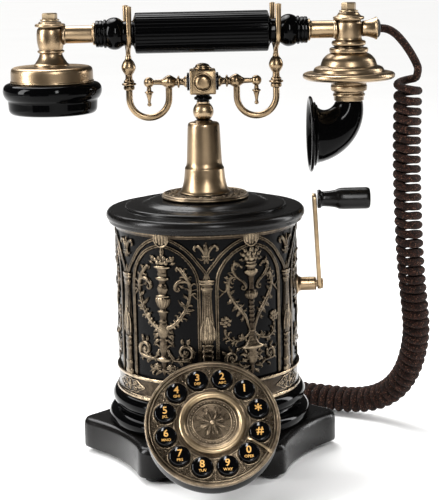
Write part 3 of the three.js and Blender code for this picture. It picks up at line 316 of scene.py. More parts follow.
def round_axis(shape, count, start=0.0):
    """The shape repeated about Z by the node tree, as plain points and faces."""
    mesh = bpy.data.meshes.new("motif")
    mesh.from_pydata(shape.points, [], shape.faces)
    motif = bpy.data.objects.new("motif", mesh)
    bpy.context.scene.collection.objects.link(motif)
    modifier = motif.modifiers.new("copies", "NODES")
    modifier.node_group = AXIS_COPIES
    for item in AXIS_COPIES.interface.items_tree:
        if item.in_out == "INPUT" and item.name == "Count":
            modifier[item.identifier] = count
        elif item.in_out == "INPUT" and item.name == "Start angle":
            modifier[item.identifier] = math.radians(start)
    bpy.context.view_layer.update()
    depsgraph = bpy.context.evaluated_depsgraph_get()
    made = bpy.data.meshes.new_from_object(motif.evaluated_get(depsgraph))
    copies = Shape([v.co for v in made.vertices], [p.vertices for p in made.polygons])
    bpy.data.objects.remove(motif)
    bpy.data.meshes.remove(mesh)
    bpy.data.meshes.remove(made)
    return copies


def make(name, shape, body, finish, nodes=(), sharp=38):
    """A finished piece on a body, in place of the given nodes of the frame."""
    mesh = bpy.data.meshes.new(name)
    mesh.from_pydata([AXIS + p * MM for p in shape.points], [], shape.faces)
    mesh.materials.append(finish)
    mesh.validate()
    mesh.shade_smooth()
    mesh.set_sharp_from_angle(angle=math.radians(sharp))
    piece = bpy.data.objects.new(name, mesh)
    bpy.context.scene.collection.objects.link(piece)
    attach(piece, body)
    if nodes:
        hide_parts(*nodes)
    return piece


# ---------------------------------------------------------------- finishes
class Finish:
    """A material with its node tree and principled shader."""

    def __init__(self, name, **values):
        self.material = bpy.data.materials.new(name)
        self.material.use_nodes = True
        self.tree = self.material.node_tree
        self.shader = self.tree.nodes["Principled BSDF"]
        self.coords = self.node("ShaderNodeTexCoord").outputs["Object"]
        for key, value in values.items():
            self.shader.inputs[key.replace("_", " ")].default_value = value

    def node(self, kind, inputs=None, **settings):
        node = self.tree.nodes.new(kind)
        for key, value in settings.items():
            setattr(node, key, value)
        for key, value in (inputs or {}).items():
            if isinstance(value, bpy.types.NodeSocket):
                self.tree.links.new(value, node.inputs[key])
            else:
                node.inputs[key].default_value = value
        return node

    def noise(self, scale, detail=4.0, roughness=0.6, vector=None):
        return self.node("ShaderNodeTexNoise", {
            "Vector": vector or self.coords, "Scale": scale, "Detail": detail,
            "Roughness": roughness}).outputs["Fac"]

    def stretched(self, x, y, z):
        return self.node("ShaderNodeMapping", {"Vector": self.coords, "Scale": (x, y, z)}).outputs[0]

    def ranged(self, value, low_in, high_in, low_out, high_out):
        return self.node("ShaderNodeMapRange", {
            "Value": value, "From Min": low_in, "From Max": high_in,
            "To Min": low_out, "To Max": high_out}).outputs[0]

    def maths(self, operation, a, b):
        return self.node("ShaderNodeMath", {0: a, 1: b}, operation=operation, use_clamp=False).outputs[0]

    def mixed(self, factor, first, second):
        node = self.node("ShaderNodeMix", data_type="RGBA")
        for socket, value in ((node.inputs[0], factor), (node.inputs[6], first), (node.inputs[7], second)):
            if isinstance(value, bpy.types.NodeSocket):
                self.tree.links.new(value, socket)
            else:
                socket.default_value = value if isinstance(value, float) else (*value, 1)
        return node.outputs[2]

    def hollow(self, distance):
        """1 on open surface, falling to 0 in narrow recesses."""
        return self.node("ShaderNodeAmbientOcclusion", {"Distance": distance},
                         samples=8, only_local=True).outputs["AO"]

    def send(self, **sockets):
        for key, value in sockets.items():
            self.tree.links.new(value, self.shader.inputs[key.replace("_", " ")])

    def bump(self, height, strength, distance):
        self.send(Normal=self.node("ShaderNodeBump", {
            "Height": height, "Strength": strength, "Distance": distance}).outputs[0])


def metal_finish(name, deep, body_tone, worn, rough=(0.26, 0.42), recess=0.003, edge=0.5,
                 grain=0.08, brushed=0.0, wall=None, patches=0.45, tarnished=0.72):
    """Aged brass: dark in its hollows, brown on open faces, yellow where it is rubbed. With wall, the
    relief is also painted darker towards the wall (partly patina, partly painted shade) and yellower on its
    crests (partly rubbing, partly painted highlight).
    """
    finish = Finish(name, Metallic=1.0, Anisotropic=brushed)
    patina = finish.noise(38, 6, 0.62)
    fine = finish.noise(900, 3, 0.6)
    open_face = finish.ranged(finish.hollow(recess), 0.42, 0.92, 0.0, 1.0)
    pointed = finish.ranged(finish.node("ShaderNodeNewGeometry").outputs["Pointiness"],
                            0.5, 0.555, 0.0, edge)
    rubbed_and_painted_highlight = finish.maths("ADD", pointed, finish.ranged(patina, 0.4, 0.72, 0.0, patches))
    # Painted shade and painted highlight: the colour follows how far the relief stands out from the wall,
    # darker low down and yellower on the crests, besides its patina and rubbing.
    if wall:
        split = finish.node("ShaderNodeSeparateXYZ", {"Vector": finish.node(
            "ShaderNodeVectorMath", {0: finish.coords, 1: AXIS}, operation="SUBTRACT").outputs[0]})
        squares = finish.maths("ADD", finish.maths("POWER", split.outputs[0], 2.0),
                               finish.maths("POWER", split.outputs[1], 2.0))
        reach = finish.maths("SQRT", squares, 0.0)
        proud = finish.ranged(reach, wall[0] * MM, wall[1] * MM, 0.0, 1.0)
        open_face = finish.maths("MULTIPLY", open_face, finish.ranged(proud, 0, 1, 0.12, 1.0))
        rubbed_and_painted_highlight = finish.maths("ADD", rubbed_and_painted_highlight, finish.ranged(proud, 0.4, 1.0, -0.25, 0.5))
    tone = finish.mixed(finish.ranged(rubbed_and_painted_highlight, 0, 1, 0, 1), body_tone, worn)
    tarnish = finish.ranged(finish.noise(260, 5, 0.7), 0.35, 0.7, tarnished, 1.0)
    colour = finish.mixed(finish.maths("MULTIPLY", open_face, tarnish), deep, tone)
    roughness = finish.ranged(finish.maths("ADD", patina, finish.maths("MULTIPLY", fine, 0.35)),
                              0.4, 0.95, rough[0], rough[1])
    finish.send(Base_Color=colour, Roughness=roughness)
    if brushed:
        tangent = finish.node("ShaderNodeTangent", direction_type="RADIAL", axis="Z").outputs[0]
        finish.send(Tangent=tangent)
        lines = finish.noise(1, 3, 0.7, finish.stretched(60, 60, 5200))
        finish.bump(lines, 0.1, 0.00005)
    else:
        finish.bump(fine, grain, 0.0003)
    return finish.material


def black_finish(name, tone, rough, shine=0.35, dust=0.006, grain_scale=700, grain=0.03):
    """Black lacquer or moulded black: faint smears, fine dust and a slight surface."""
    finish = Finish(name, Specular_IOR_Level=shine)
    smear = finish.noise(22, 6, 0.7)
    specks = finish.noise(2600, 2, 0.5)
    pale = tuple(value + dust for value in tone)
    finish.send(
        Base_Color=finish.mixed(finish.ranged(specks, 0.66, 0.8, 0.0, 0.7), tone, pale),
        Roughness=finish.ranged(smear, 0.35, 0.7, rough[0], rough[1]))
    finish.bump(finish.noise(grain_scale, 3, 0.5), grain, 0.0002)
    return finish.material


DEEP = (0.016, 0.011, 0.007)
BROWN = (0.17, 0.115, 0.066)
GOLD = (0.5, 0.365, 0.215)
antique = metal_finish("antique_brass_cast", DEEP, BROWN, GOLD, rough=(0.24, 0.4))
# The arcade relief takes wall: painted shade towards the wall and painted highlight on its crests, along
# with its patina and rubbing.
relief_brass = metal_finish("antique_brass_relief", (0.006, 0.0045, 0.0035), (0.1, 0.074, 0.05),
                            (0.62, 0.485, 0.325), rough=(0.16, 0.32), recess=0.0026, grain=0.6,
                            wall=(60.3, 62.7), patches=0.35, tarnished=0.25)
brushed = metal_finish("antique_brass_brushed", DEEP, (0.28, 0.2, 0.12), (0.48, 0.36, 0.23),
                       rough=(0.25, 0.35), recess=0.004, brushed=0.45, patches=0.15, tarnished=0.9)
bright = metal_finish("bright_brass", (0.05, 0.034, 0.018), (0.3, 0.22, 0.13), (0.5, 0.385, 0.245),
                      rough=(0.28, 0.38), recess=0.002)
engraved = metal_finish("antique_brass_engraved", (0.008, 0.006, 0.004), (0.09, 0.066, 0.045),
                        (0.66, 0.51, 0.34), rough=(0.28, 0.42), recess=0.0022, grain=0.4, tarnished=0.5)
gloss_black = black_finish("black_gloss", (0.0008, 0.0008, 0.0009), (0.06, 0.11), shine=0.07, dust=0.003)
drum_black = black_finish("black_drum", (0.0008, 0.0008, 0.0009), (0.2, 0.3), shine=0.06)
satin_black = black_finish("black_satin", (0.003, 0.0026, 0.0024), (0.22, 0.3), shine=0.18, grain=0.04)
key_black = black_finish("key_black", (0.001, 0.001, 0.0012), (0.04, 0.08), shine=0.2)
plastic_black = black_finish("black_plastic", (0.015, 0.015, 0.015), (0.4, 0.55),
                             grain_scale=1600, grain=0.15)
rubber = black_finish("rubber", (0.018, 0.018, 0.018), (0.6, 0.8), dust=0.04, grain_scale=1200,
                      grain=0.25)
steel = metal_finish("steel", (0.1, 0.1, 0.1), (0.42, 0.42, 0.43), (0.62, 0.62, 0.63),
                     rough=(0.25, 0.4))
gilt = metal_finish("gilt_numerals", (0.3, 0.13, 0.03), (0.8, 0.42, 0.1), (0.95, 0.58, 0.2),
                    rough=(0.4, 0.5), recess=0.0004)
board_green = black_finish("board_green", (0.02, 0.09, 0.04), (0.35, 0.5), grain_scale=900,
                           grain=0.2)


def braid_finish():
    """Braided textile sleeve: two sets of diagonal strands in dark brown with reddish threads, with painted
    shade darkening the crevices between strands to near black.
    """
    finish = Finish("braided_textile", Sheen_Weight=0.02, Sheen_Roughness=0.5, Specular_IOR_Level=0.1)
    split = finish.node("ShaderNodeSeparateXYZ", {"Vector": finish.node(
        "ShaderNodeUVMap", uv_map="sleeve").outputs[0]})
    round_sleeve = finish.maths("MULTIPLY", split.outputs[0], 7.0)
    along_sleeve = finish.maths("MULTIPLY", split.outputs[1], 3.2)
    left_hand = finish.maths("ADD", round_sleeve, along_sleeve)
    right_hand = finish.maths("SUBTRACT", round_sleeve, along_sleeve)
    waves = []
    for strand in (left_hand, right_hand):
        phase = finish.maths("MULTIPLY", strand, 2 * math.pi)
        waves.append(finish.maths("SINE", phase, 0.0))
    crossing = finish.maths("MULTIPLY", waves[0], waves[1])
    height = finish.ranged(finish.maths("ABSOLUTE", crossing, 0.0), 0.0, 1.0, 0.0, 1.0)
    cell = finish.node("ShaderNodeCombineXYZ", {
        0: finish.maths("FLOOR", finish.maths("MULTIPLY", left_hand, 2.0), 0.0),
        1: finish.maths("FLOOR", finish.maths("MULTIPLY", right_hand, 2.0), 0.0)}).outputs[0]
    fleck = finish.node("ShaderNodeTexWhiteNoise", {"Vector": cell}).outputs["Value"]
    thread = finish.mixed(finish.ranged(fleck, 0.55, 0.62, 0.0, 1.0),
                          (0.014, 0.007, 0.005), (0.055, 0.022, 0.015))
    pale = finish.mixed(finish.ranged(fleck, 0.9, 0.94, 0.0, 1.0), thread, (0.15, 0.075, 0.05))
    # Painted shade: the colour falls to near black where the strands dip into the crevices between them.
    finish.send(Base_Color=finish.mixed(finish.ranged(height, 0.0, 0.45, 0.0, 1.0),
                                        (0.003, 0.0015, 0.001), pale),
                Roughness=finish.ranged(fleck, 0, 1, 0.62, 0.85))
    finish.bump(height, 0.9, 0.0004)
    return finish.material


braid = braid_finish()


# ---------------------------------------------------------------- feet, plinth and mouldings
FEET = ("foot_front_left", "foot_front_right", "foot_rear_right", "foot_rear_left")
feet = Shape()
for foot in FEET:
    radius = (high(foot, 0) - low(foot, 0)) / 2
    pad = lathe(rounded([(0, 0), (radius - 1.2, 0), (radius, 0.9), (radius - 0.5, high(foot)),
                         (0, high(foot))], 0.5), 32)
    feet.add(pad, shift(middle(foot, 0), middle(foot, 1)))
make("feet", feet, "base", rubber, FEET)

PLINTH_SIDE = 71
PLINTH_CORNER_REACH = 87
PLINTH_CORNER_HALF = 5
PLINTH_BORE = 54


def plinth_outline(steps=18):
    """A hexagon with cut corners and hollowed sides."""
    outline = []
    turn = math.radians(60)
    chord = PLINTH_CORNER_REACH * math.cos(turn / 2) + PLINTH_CORNER_HALF * math.sin(turn / 2)
    reach = PLINTH_CORNER_REACH * math.sin(turn / 2) - PLINTH_CORNER_HALF * math.cos(turn / 2)
    hollow = chord - PLINTH_SIDE
    radius = (reach ** 2 + hollow ** 2) / (2 * hollow)
    centre = PLINTH_SIDE + radius
    sweep = math.asin(reach / radius)
    for side in range(6):
        facing = turn * (side + 0.5)
        for k in range(-2, 3):
            across = PLINTH_CORNER_HALF * k / 2.15
            along = PLINTH_CORNER_REACH - 0.8 * (k / 2) ** 4
            corner = turn * side
            outline.append((along * math.cos(corner) - across * math.sin(corner),
                            along * math.sin(corner) + across * math.cos(corner)))
        for k in range(1, steps):
            angle = facing + math.pi + sweep - 2 * sweep * k / steps
            outline.append((centre * math.cos(facing) + radius * math.cos(angle),
                            centre * math.sin(facing) + radius * math.sin(angle)))
    return [Vector(p) for p in outline]


def plinth():
    outline = plinth_outline()
    count = len(outline)
    bottom, top = low("plinth"), high("plinth")
    edges = [(1.6, bottom), (0.4, bottom + 0.5), (0, bottom + 1.6), (0, top - 4.6), (0.25, top - 3.2),
             (0.9, top - 1.7), (2, top - 0.6), (3.4, top - 0.1), (5, top)]
    rings = []
    for inset, height in edges:
        ring = []
        for i, point in enumerate(outline):
            side = (outline[(i + 1) % count] - outline[i - 1]).normalized()
            outward = Vector((side.y, -side.x))
            ring.append((*(point - outward * inset), height))
        rings.append([Vector(p) for p in ring])
    for radius, height in ((PLINTH_BORE, top), (PLINTH_BORE, bottom)):
        rings.append([Vector((p.x, p.y, 0)).normalized() * radius + Vector((0, 0, height))
                      for p in outline])
    rings.append(rings[0])
    return skin(rings, close_ends=False)


make("plinth_shell", plinth(), "base", satin_black, ["plinth"])

LOW_BEAD, TOP_BEAD = 69, 66.2
base_line, top_line = low("moulding"), high("moulding")
moulding_profile = rounded([
    (60, base_line), (LOW_BEAD - 2, base_line, 1.6), (LOW_BEAD, base_line + 2.6, 2.2),
    (LOW_BEAD, base_line + 7, 3), (LOW_BEAD - 3.2, base_line + 9.8, 1.6),
    (LOW_BEAD - 6.6, base_line + 10.4, 1.4), (TOP_BEAD - 4.4, base_line + 12.6, 1),
    (TOP_BEAD - 1.4, base_line + 13.4, 2), (TOP_BEAD, base_line + 16, 2.6),
    (TOP_BEAD, base_line + 19.6, 3), (TOP_BEAD - 2.4, top_line, 1.6), (60, top_line)], 1.2, 5)
make("moulding_rings", lathe(moulding_profile, 128, closed=True), "base", gloss_black,
     ["moulding"])

SHELL_RADIUS = (SHELL_HIGH[0] - SHELL_LOW[0]) / 2 / MM
shell_low, shell_high = low("body_shell"), high("body_shell")
DRUM_IN, DRUM_OUT = SHELL_RADIUS - 3.4, SHELL_RADIUS - 1.2
make("body_drum", lathe([(DRUM_IN, shell_low), (DRUM_OUT, shell_low), (DRUM_OUT, shell_high),
                         (DRUM_IN, shell_high)], 144, closed=True),
     "base", drum_black, ["body_shell"])

# ---------------------------------------------------------------- lid, flange and column
LID_RADIUS = (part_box("lid")[1][0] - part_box("lid")[0][0]) / 2 / MM
lid_low, lid_high = low("lid") + 3.5, high("lid")
LID_STEP, LID_DOME = 54, 41
BORE = 3.35
lid_profile = rounded([
    (BORE, lid_low - 3.5), (SHELL_RADIUS - 2.7, lid_low - 3.5), (SHELL_RADIUS - 2.7, lid_low),
    (LID_RADIUS - 2.6, lid_low, 0.5), (LID_RADIUS - 1.6, lid_low + 0.8, 0.5),
    (LID_RADIUS - 1.6, lid_low + 3, 0.2), (LID_RADIUS - 0.5, lid_low + 3.3, 0.4),
    (LID_RADIUS, lid_low + 4.6, 1), (LID_RADIUS - 0.3, lid_low + 7, 1.4),
    (LID_RADIUS - 2, lid_low + 8.7, 0.9), (LID_STEP + 0.9, lid_low + 8.9, 0.3),
    (LID_STEP, lid_low + 9.3, 0.3), (LID_STEP, lid_low + 10.8, 0.5),
    (LID_STEP - 1, lid_low + 11.4, 0.6), (LID_DOME + 2.6, lid_low + 11.6, 0.3),
    (LID_DOME + 0.6, lid_low + 12, 0.8), (LID_DOME - 1.4, lid_high - 1.6, 1.6),
    (LID_DOME - 5, lid_high - 0.2, 2), (LID_DOME - 10, lid_high, 1),
    (BORE, lid_high)], 0.4, 5, closed=True)
make("lid_turned", lathe(lid_profile, 144, closed=True), "base", satin_black, ["lid"])

FLANGE_RADIUS = (high("lid_flange", 0) - low("lid_flange", 0)) / 2
flange_low, flange_high = low("lid_flange"), high("lid_flange")
flange = lathe(rounded([
    (BORE, flange_low), (FLANGE_RADIUS - 1.2, flange_low, 0.8), (FLANGE_RADIUS, flange_low + 1, 0.8),
    (FLANGE_RADIUS - 0.2, flange_low + 1.9, 0.3), (FLANGE_RADIUS - 0.9, flange_low + 2.1, 0.2),
    (FLANGE_RADIUS - 0.9, flange_high - 0.2, 0.4), (FLANGE_RADIUS - 2.6, flange_high, 0.3),
    (FLANGE_RADIUS - 3, flange_high - 0.6, 0.2), (17.8, flange_high - 0.5, 0.2),
    (BORE, flange_high - 0.5)],
    0.3, 3, closed=True), 128, closed=True)


def level_stroke(points, width, base, steps=4, sides=6, rise=1.15):
    """A raised line on a level face: half an oval standing on base, along [x, y] points."""
    line = curve([Vector(p) for p in points], steps)
    count = len(line)
    widths = spread(width, count)
    rings = []
    for i, point in enumerate(line):
        ahead = (line[min(i + 1, count - 1)] - line[max(i - 1, 0)]).normalized()
        side = Vector((-ahead.y, ahead.x))
        ring = []
        for k in range(sides):
            angle = 2 * math.pi * k / sides
            out = point - side * widths[i] * math.cos(angle)
            ring.append(Vector((out.x, out.y, base + widths[i] * rise * math.sin(angle))))
        rings.append(ring)
    return skin(rings)


def scroll_points(centre, radius, turns, start, tail=()):
    """A spiral that closes in on its centre, with an optional tail before it."""
    steps = max(6, int(9 * abs(turns)))
    spiral = []
    for i in range(steps + 1):
        t = i / steps
        angle = math.radians(start + 360 * turns * t)
        reach = radius * (1 - 0.78 * t)
        spiral.append((centre[0] + reach * math.cos(angle), centre[1] + reach * math.sin(angle)))
    return list(tail) + spiral


flange_motif = Shape()
top_face = flange_high - 0.55
flange_motif.add(level_stroke(scroll_points((22.6, 1.2), 2.2, 1.3, 200, [(18.4, -3.6), (20, -1.4)]),
                              [0.35, 0.72, 0.62, 0.45], top_face, 3))
flange_motif.add(level_stroke(scroll_points((20.6, -2.8), 1.5, -1.2, 20, [(24.9, 0.8), (23.4, -1.6)]),
                              [0.35, 0.65, 0.55, 0.4], top_face, 3))
flange_motif.add(level_stroke([(19, 1.6), (20.6, 3), (19.4, 4.2)], [0.2, 0.6, 0.15], top_face, 3))
flange_motif.add(level_stroke([(24.2, -3.4), (25.4, -2), (25.6, -0.4)], [0.2, 0.55, 0.15], top_face, 3))
flange.add(round_axis(flange_motif, 16))
make("lid_flange_engraved", flange, "base", engraved, ["lid_flange"])

column_low, column_high = low("column"), high("column")
SHOULDER = column_low + 47.4
BALL_RADIUS = 6.9
ball_centre = SHOULDER + BALL_RADIUS
column_profile = rounded([
    (BORE, column_low), (17.4, column_low, 0.6), (16.2, column_low + 1.2, 0.8), (15, column_low + 4, 3),
    (13.9, column_low + 9, 4), (13.4, column_low + 14.6, 1), (13.3, column_low + 16.4, 0.4),
    (12.5, column_low + 17.6, 0.8), (11.9, column_low + 19.8, 1), (11.4, column_low + 30, 4),
    (10.9, column_low + 42, 3), (10.6, SHOULDER - 1.4, 1.2), (9.4, SHOULDER - 0.3, 0.6),
    (6.3, SHOULDER, 0.3), (5.6, SHOULDER + 1, 0.4), (4.2, SHOULDER + 1.4, 0.4)], 0.5, 4)
column_profile += [Vector((BALL_RADIUS * math.cos(a), ball_centre + BALL_RADIUS * math.sin(a)))
                   for a in (math.radians(-52 + 104 * k / 16) for k in range(17))]
column_profile += [Vector((4.4, column_high)), Vector((BORE, column_high))]
make("column_turned", lathe(column_profile, 96, closed=True), "base", brushed, ["column"])

collar_low, collar_high = low("column_collar"), high("column_collar")
make("collar_turned", lathe(rounded([
    (BORE, collar_low), (4.3, collar_low, 0.3), (4.1, collar_low + 0.8, 0.3), (6, collar_low + 1.3, 0.6),
    (6, collar_low + 2.8, 0.6), (4.6, collar_low + 3.4, 0.4), (4.4, collar_high - 0.5, 0.2),
    (5.2, collar_high, 0.2), (BORE, collar_high)], 0.4, 4, closed=True), 64, closed=True),
    "base", gloss_black, ["column_collar"])

# ---------------------------------------------------------------- cradle
ARM = middle("cradle_block", 2)
BLOCK = high("cradle_block", 0) - low("cradle_block", 0)
block_low, block_high = low("cradle_block"), high("cradle_block")
cradle = block((BLOCK, BLOCK, block_high - block_low), 0.9).moved(shift(0, 0, ARM))
boss = lathe(rounded([(0, BLOCK / 2 - 1), (6.5, BLOCK / 2 - 1), (6.5, BLOCK / 2 + 0.6, 0.3),
                      (6, BLOCK / 2 + 1, 0.3), (5.4, BLOCK / 2 + 0.8, 0.2), (5.3, BLOCK / 2 + 0.5, 0.1),
                      (4.9, BLOCK / 2 + 1, 1.2), (3.6, BLOCK / 2 + 2.3, 1.4), (0, BLOCK / 2 + 2.6)],
                     0.3, 4), 56)
border = Shape()
for side in (0, 90, 180, 270):
    border.add(bar([(-BLOCK / 2 + 1.3, BLOCK / 2 - 1.3, BLOCK / 2 - 0.05),
                    (BLOCK / 2 - 1.3, BLOCK / 2 - 1.3, BLOCK / 2 - 0.05)], 0.3, 6), spin(side))
for turn_x in (90, -90):
    cradle.add(boss, shift(0, 0, ARM) @ spin(turn_x, "X"))
    cradle.add(border, shift(0, 0, ARM) @ spin(turn_x, "X"))
make("cradle_head", cradle, "cradle", antique, ["cradle_block"])

cap_low, cap_high = low("block_cap"), high("block_cap")
make("cradle_cap", lathe(rounded([
    (0, cap_low), (6.1, cap_low, 0.4), (6.1, cap_low + 0.9, 0.4), (5, cap_low + 1.1, 0.2),
    (4.9, cap_low + 1.6, 0.3), (4.5, cap_low + 2.6, 1), (2.6, cap_high - 0.3, 1.2),
    (0, cap_high)], 0.3, 4), 48),
    "cradle", antique, ["block_cap"])

HOOK_INNER, HOOK_REACH = 22.6, 49
HOOK_CENTRE = (HOOK_INNER + HOOK_REACH) / 2
HOOK_ROUND = (HOOK_REACH - HOOK_INNER) / 2
HOOK_LOW = ARM - 10.3
HAND = middle("handle_grip", 2)
FORK_ROUND = 10.7
FORK_TWIST = 0.12  # the front prong stands a little to the right of the rear one
FORK_TIP = high("hook_right")


def hook():
    """Arm, bulb, finial, U-shaped hook and two-pronged fork, on the +X side."""
    shape = Shape()
    start = BLOCK / 2 + 1.9
    shape.add(along_x(lathe(rounded([
        (0, start), (4, start), (3.8, start + 1, 0.4), (2.5, start + 2.2, 0.6), (2.2, 14.6, 0.6),
        (2.4, 15.2, 0.3), (4.1, 15.6, 0.4), (4.1, 16.5, 0.4), (2.6, 17, 0.3), (2.5, 18, 0.4),
        (3.4, 19.2, 1), (4.7, 21.4, 1.6), (4.7, 23.2, 1.6), (3.2, 25.4, 1.4), (1.9, 27.2, 0.8),
        (1.6, 34.6, 0.4), (0, 34.8)], 0.4, 4), 32), 0, ARM))
    shape.add(ball(3.5, (HOOK_CENTRE, 0, ARM), 10, 24))
    shape.add(lathe(rounded([
        (0, ARM - 16.2), (1.3, ARM - 15.6, 0.5), (1.5, ARM - 14.6, 0.6), (0.9, ARM - 13.4, 0.4),
        (1.1, ARM - 11.5, 0.6), (2.1, ARM - 7.6, 1), (2.9, ARM - 6.9, 0.3), (2.9, ARM - 6.2, 0.3),
        (1.6, ARM - 5.6, 0.3), (1.4, ARM - 3.6, 0.4), (1.4, ARM - 2), (0, ARM - 1.8)], 0.3, 4),
        24).moved(shift(HOOK_CENTRE)))
    bend = [(HOOK_CENTRE - HOOK_ROUND * math.cos(math.pi * k / 24), 0,
             HOOK_LOW - HOOK_ROUND * math.sin(math.pi * k / 24)) for k in range(25)]
    shape.add(bar([(HOOK_INNER, 0, ARM), (HOOK_INNER, 0, HOOK_LOW + 3)] + bend
                  + [(HOOK_REACH, 0, HOOK_LOW + 3), (HOOK_REACH, 0, ARM - 4)], 2.2, 18))
    shape.add(lathe(rounded([
        (0, ARM - 5), (2.4, ARM - 5), (3.6, ARM - 4.4, 0.4), (3.7, ARM - 2.6, 0.4), (3.2, ARM - 2, 0.2),
        (4.8, ARM - 1.4, 0.4), (4.8, ARM - 0.4, 0.4), (3.4, ARM + 0.2, 0.2), (3.6, ARM + 1.2, 0.4),
        (2.4, ARM + 2.2, 0.6), (2.3, ARM + 5.2, 0.6), (3.4, ARM + 6.6, 1.4), (4.75, ARM + 9.2, 1.8),
        (4.75, ARM + 11.4, 1.8), (3.4, ARM + 14.4, 1.4), (2.1, ARM + 15.6, 0.6), (1.8, ARM + 18),
        (0, ARM + 18.2)], 0.4, 4), 32).moved(shift(HOOK_REACH)))
    crotch = HAND - FORK_ROUND
    prong = [(0, ARM + 15), (0, ARM + 18.6), (-1.4, crotch - 1.2)]
    prong += [(-FORK_ROUND * math.sin(a), HAND - FORK_ROUND * math.cos(a))
              for a in (math.radians(d) for d in (22, 40, 58, 76, 90))]
    prong += [(-FORK_ROUND - 0.1, HAND + 6), (-FORK_ROUND - 0.2, HAND + 12),
            (-FORK_ROUND - 0.4, FORK_TIP - 0.5)]
    for side in (1, -1):
        path = [Vector((HOOK_REACH - FORK_TWIST * p.x * side, p.x * side, p.y)) for p in curve(prong, 4)]
        shape.add(bar(path, [1.7, 1.5, 1.5, 1.55, 1.75, 1.95], 14, flat=0.68, facing=Vector((1, 0, 0)),
                      round_end=0.25))
    return shape


washer = lathe(rounded([(0, BLOCK / 2 + 0.25), (6, BLOCK / 2 + 0.25, 0.3), (6, BLOCK / 2 + 1.8, 0.3),
                        (0, BLOCK / 2 + 1.8)], 0.3), 40)
for side, name in ((0, "right"), (180, "left")):
    make(f"cradle_hook_{name}", hook().moved(spin(side)), "cradle", antique,
         [f"hook_{name}"])
    make(f"arm_washer_{name}", along_x(washer, 0, ARM).moved(spin(side)), "cradle",
         gloss_black)

# ---------------------------------------------------------------- brass arcade round the body
# Relief is drawn flat as [across, height] points of one bay and then bent round the body.
WALL = SHELL_RADIUS - 0.9
RELIEF_LIMIT = 4.4  # relief is pressed flatter the higher it stands


def round_wall(shape):
    def bend(p):
        height = max(-p.y, -0.2)
        reach = WALL + (height / (1 + height / RELIEF_LIMIT) if height > 0 else height)
        return Vector((reach * math.sin(p.x / WALL), -reach * math.cos(p.x / WALL), p.z))
    return shape.bent(bend)


def relief(points, width, steps=5, sides=8, base=0.35, rise=1.0, offset=0.0):
    """A raised bar on the wall along [across, height] points."""
    line = curve([Vector(p) for p in points], steps)
    count = len(line)
    widths = spread(width, count)
    rings = []
    aheads = [(line[min(i + 1, count - 1)] - line[max(i - 1, 0)]).normalized() for i in range(count)]
    for i, point in enumerate(line):
        side = Vector((-aheads[i].y, aheads[i].x))
        middle_point = point + side * offset
        ring = []
        for k in range(sides):
            angle = 2 * math.pi * k / sides
            out = middle_point + side * widths[i] * math.cos(angle)
            ring.append(Vector((out.x, -base - widths[i] * rise * math.sin(angle), out.y)))
        rings.append(ring)
    tips = []
    for i, way in ((0, -1), (-1, 1)):
        tip = line[i] + aheads[i] * widths[i] * way
        side = Vector((-aheads[i].y, aheads[i].x)) * offset
        tips.append(Vector((tip.x + side.x, -base, tip.y + side.y)))
    return skin(rings, cap=tips)


def both(points, width, **settings):
    """The same bar on both sides of the bay's middle line."""
    shape = relief(points, width, **settings)
    return shape.add(relief([(-x, z) for x, z in points], width, **settings))


BALUSTER_FLAT = 0.62


def baluster(profile, flutes=0, depth=0.0, segments=28):
    """A turned form half sunk in the wall, standing upright."""
    form = lathe(rounded(profile, 0.35, 2), segments, flutes=flutes, depth=depth)
    return form.bent(lambda p: Vector((p.x, min(p.y * BALUSTER_FLAT, 0.1) - 0.3, p.z)))


def nub(across, height, radius, base=0.5):
    form = ball(radius, (0, 0, 0), 7, 12)
    return form.bent(lambda p: Vector((p.x + across, p.y * 0.8 - base, p.z + height)))


def leaf(root, tip, width, lean=0.0, base=0.5):
    """A pointed leaf with a mid rib from root to tip."""
    root, tip = Vector(root), Vector(tip)
    side = Vector((-(tip - root).y, (tip - root).x)) * lean
    centre = (root + tip) / 2 + side
    shape = relief([root, centre, tip], [width * 0.3, width * 0.9, width, width * 0.7, 0.12], steps=4,
                   sides=8, base=base, rise=0.6)
    return shape.add(relief([root, centre, tip], [0.3, 0.3, 0.12], steps=3, sides=5,
                            base=base + width * 0.5))


def leaves(rows, lean=0.0):
    """Leaves as (root, tip, width) on both sides of the bay's middle line."""
    shape = Shape()
    for side in (-1, 1):
        for root, tip, width in rows:
            shape.add(leaf((side * root[0], root[1]), (side * tip[0], tip[1]), width, lean * side))
    return shape


def fronds(points, size, count, base=0.6):
    """Small curled leaves along both edges of a stem, mirrored about the bay's middle line."""
    line = curve([Vector(p) for p in points], 6)
    shape = Shape()
    for k in range(count):
        index = 1 + int((len(line) - 3) * (k + 0.5) / count)
        ahead = (line[index + 1] - line[index - 1]).normalized()
        side = Vector((-ahead.y, ahead.x)) * (1 if k % 2 else -1)
        length = size * (1.15 if k % 3 else 0.85)
        root = line[index] + side * size * 0.2
        middle_point = root + (ahead * 0.55 + side * 0.55) * length
        tip = middle_point + (ahead * 0.1 + side * 0.75) * length * 0.7
        hook = tip + (side * 0.2 - ahead * 0.6) * length * 0.4
        for way in (-1, 1):
            path = [(way * p.x, p.y) for p in (root, middle_point, tip, hook)]
            shape.add(relief(path, [size * 0.3, size * 0.36, size * 0.24, size * 0.1], steps=3, sides=6,
                             base=base, rise=1.3))
            shape.add(nub(way * hook.x, hook.y, size * 0.17, base=base + 0.4))
    return shape


def rosette(across, height, radius, petals=6):
    shape = nub(across, height, radius * 0.34, base=1.2)
    for k in range(petals):
        angle = 2 * math.pi * k / petals + 0.3
        shape.add(nub(across + radius * 0.62 * math.cos(angle), height + radius * 0.62 * math.sin(angle),
                      radius * 0.38, base=0.7))
    return shape


def spiral(across, height, radius, turns, start, tail=(), width=(0.9, 0.8, 0.5)):
    shape = relief(scroll_points((across, height), radius, turns, start, tail), list(width), steps=3)
    return shape.add(nub(across, height, radius * 0.3, base=0.8))


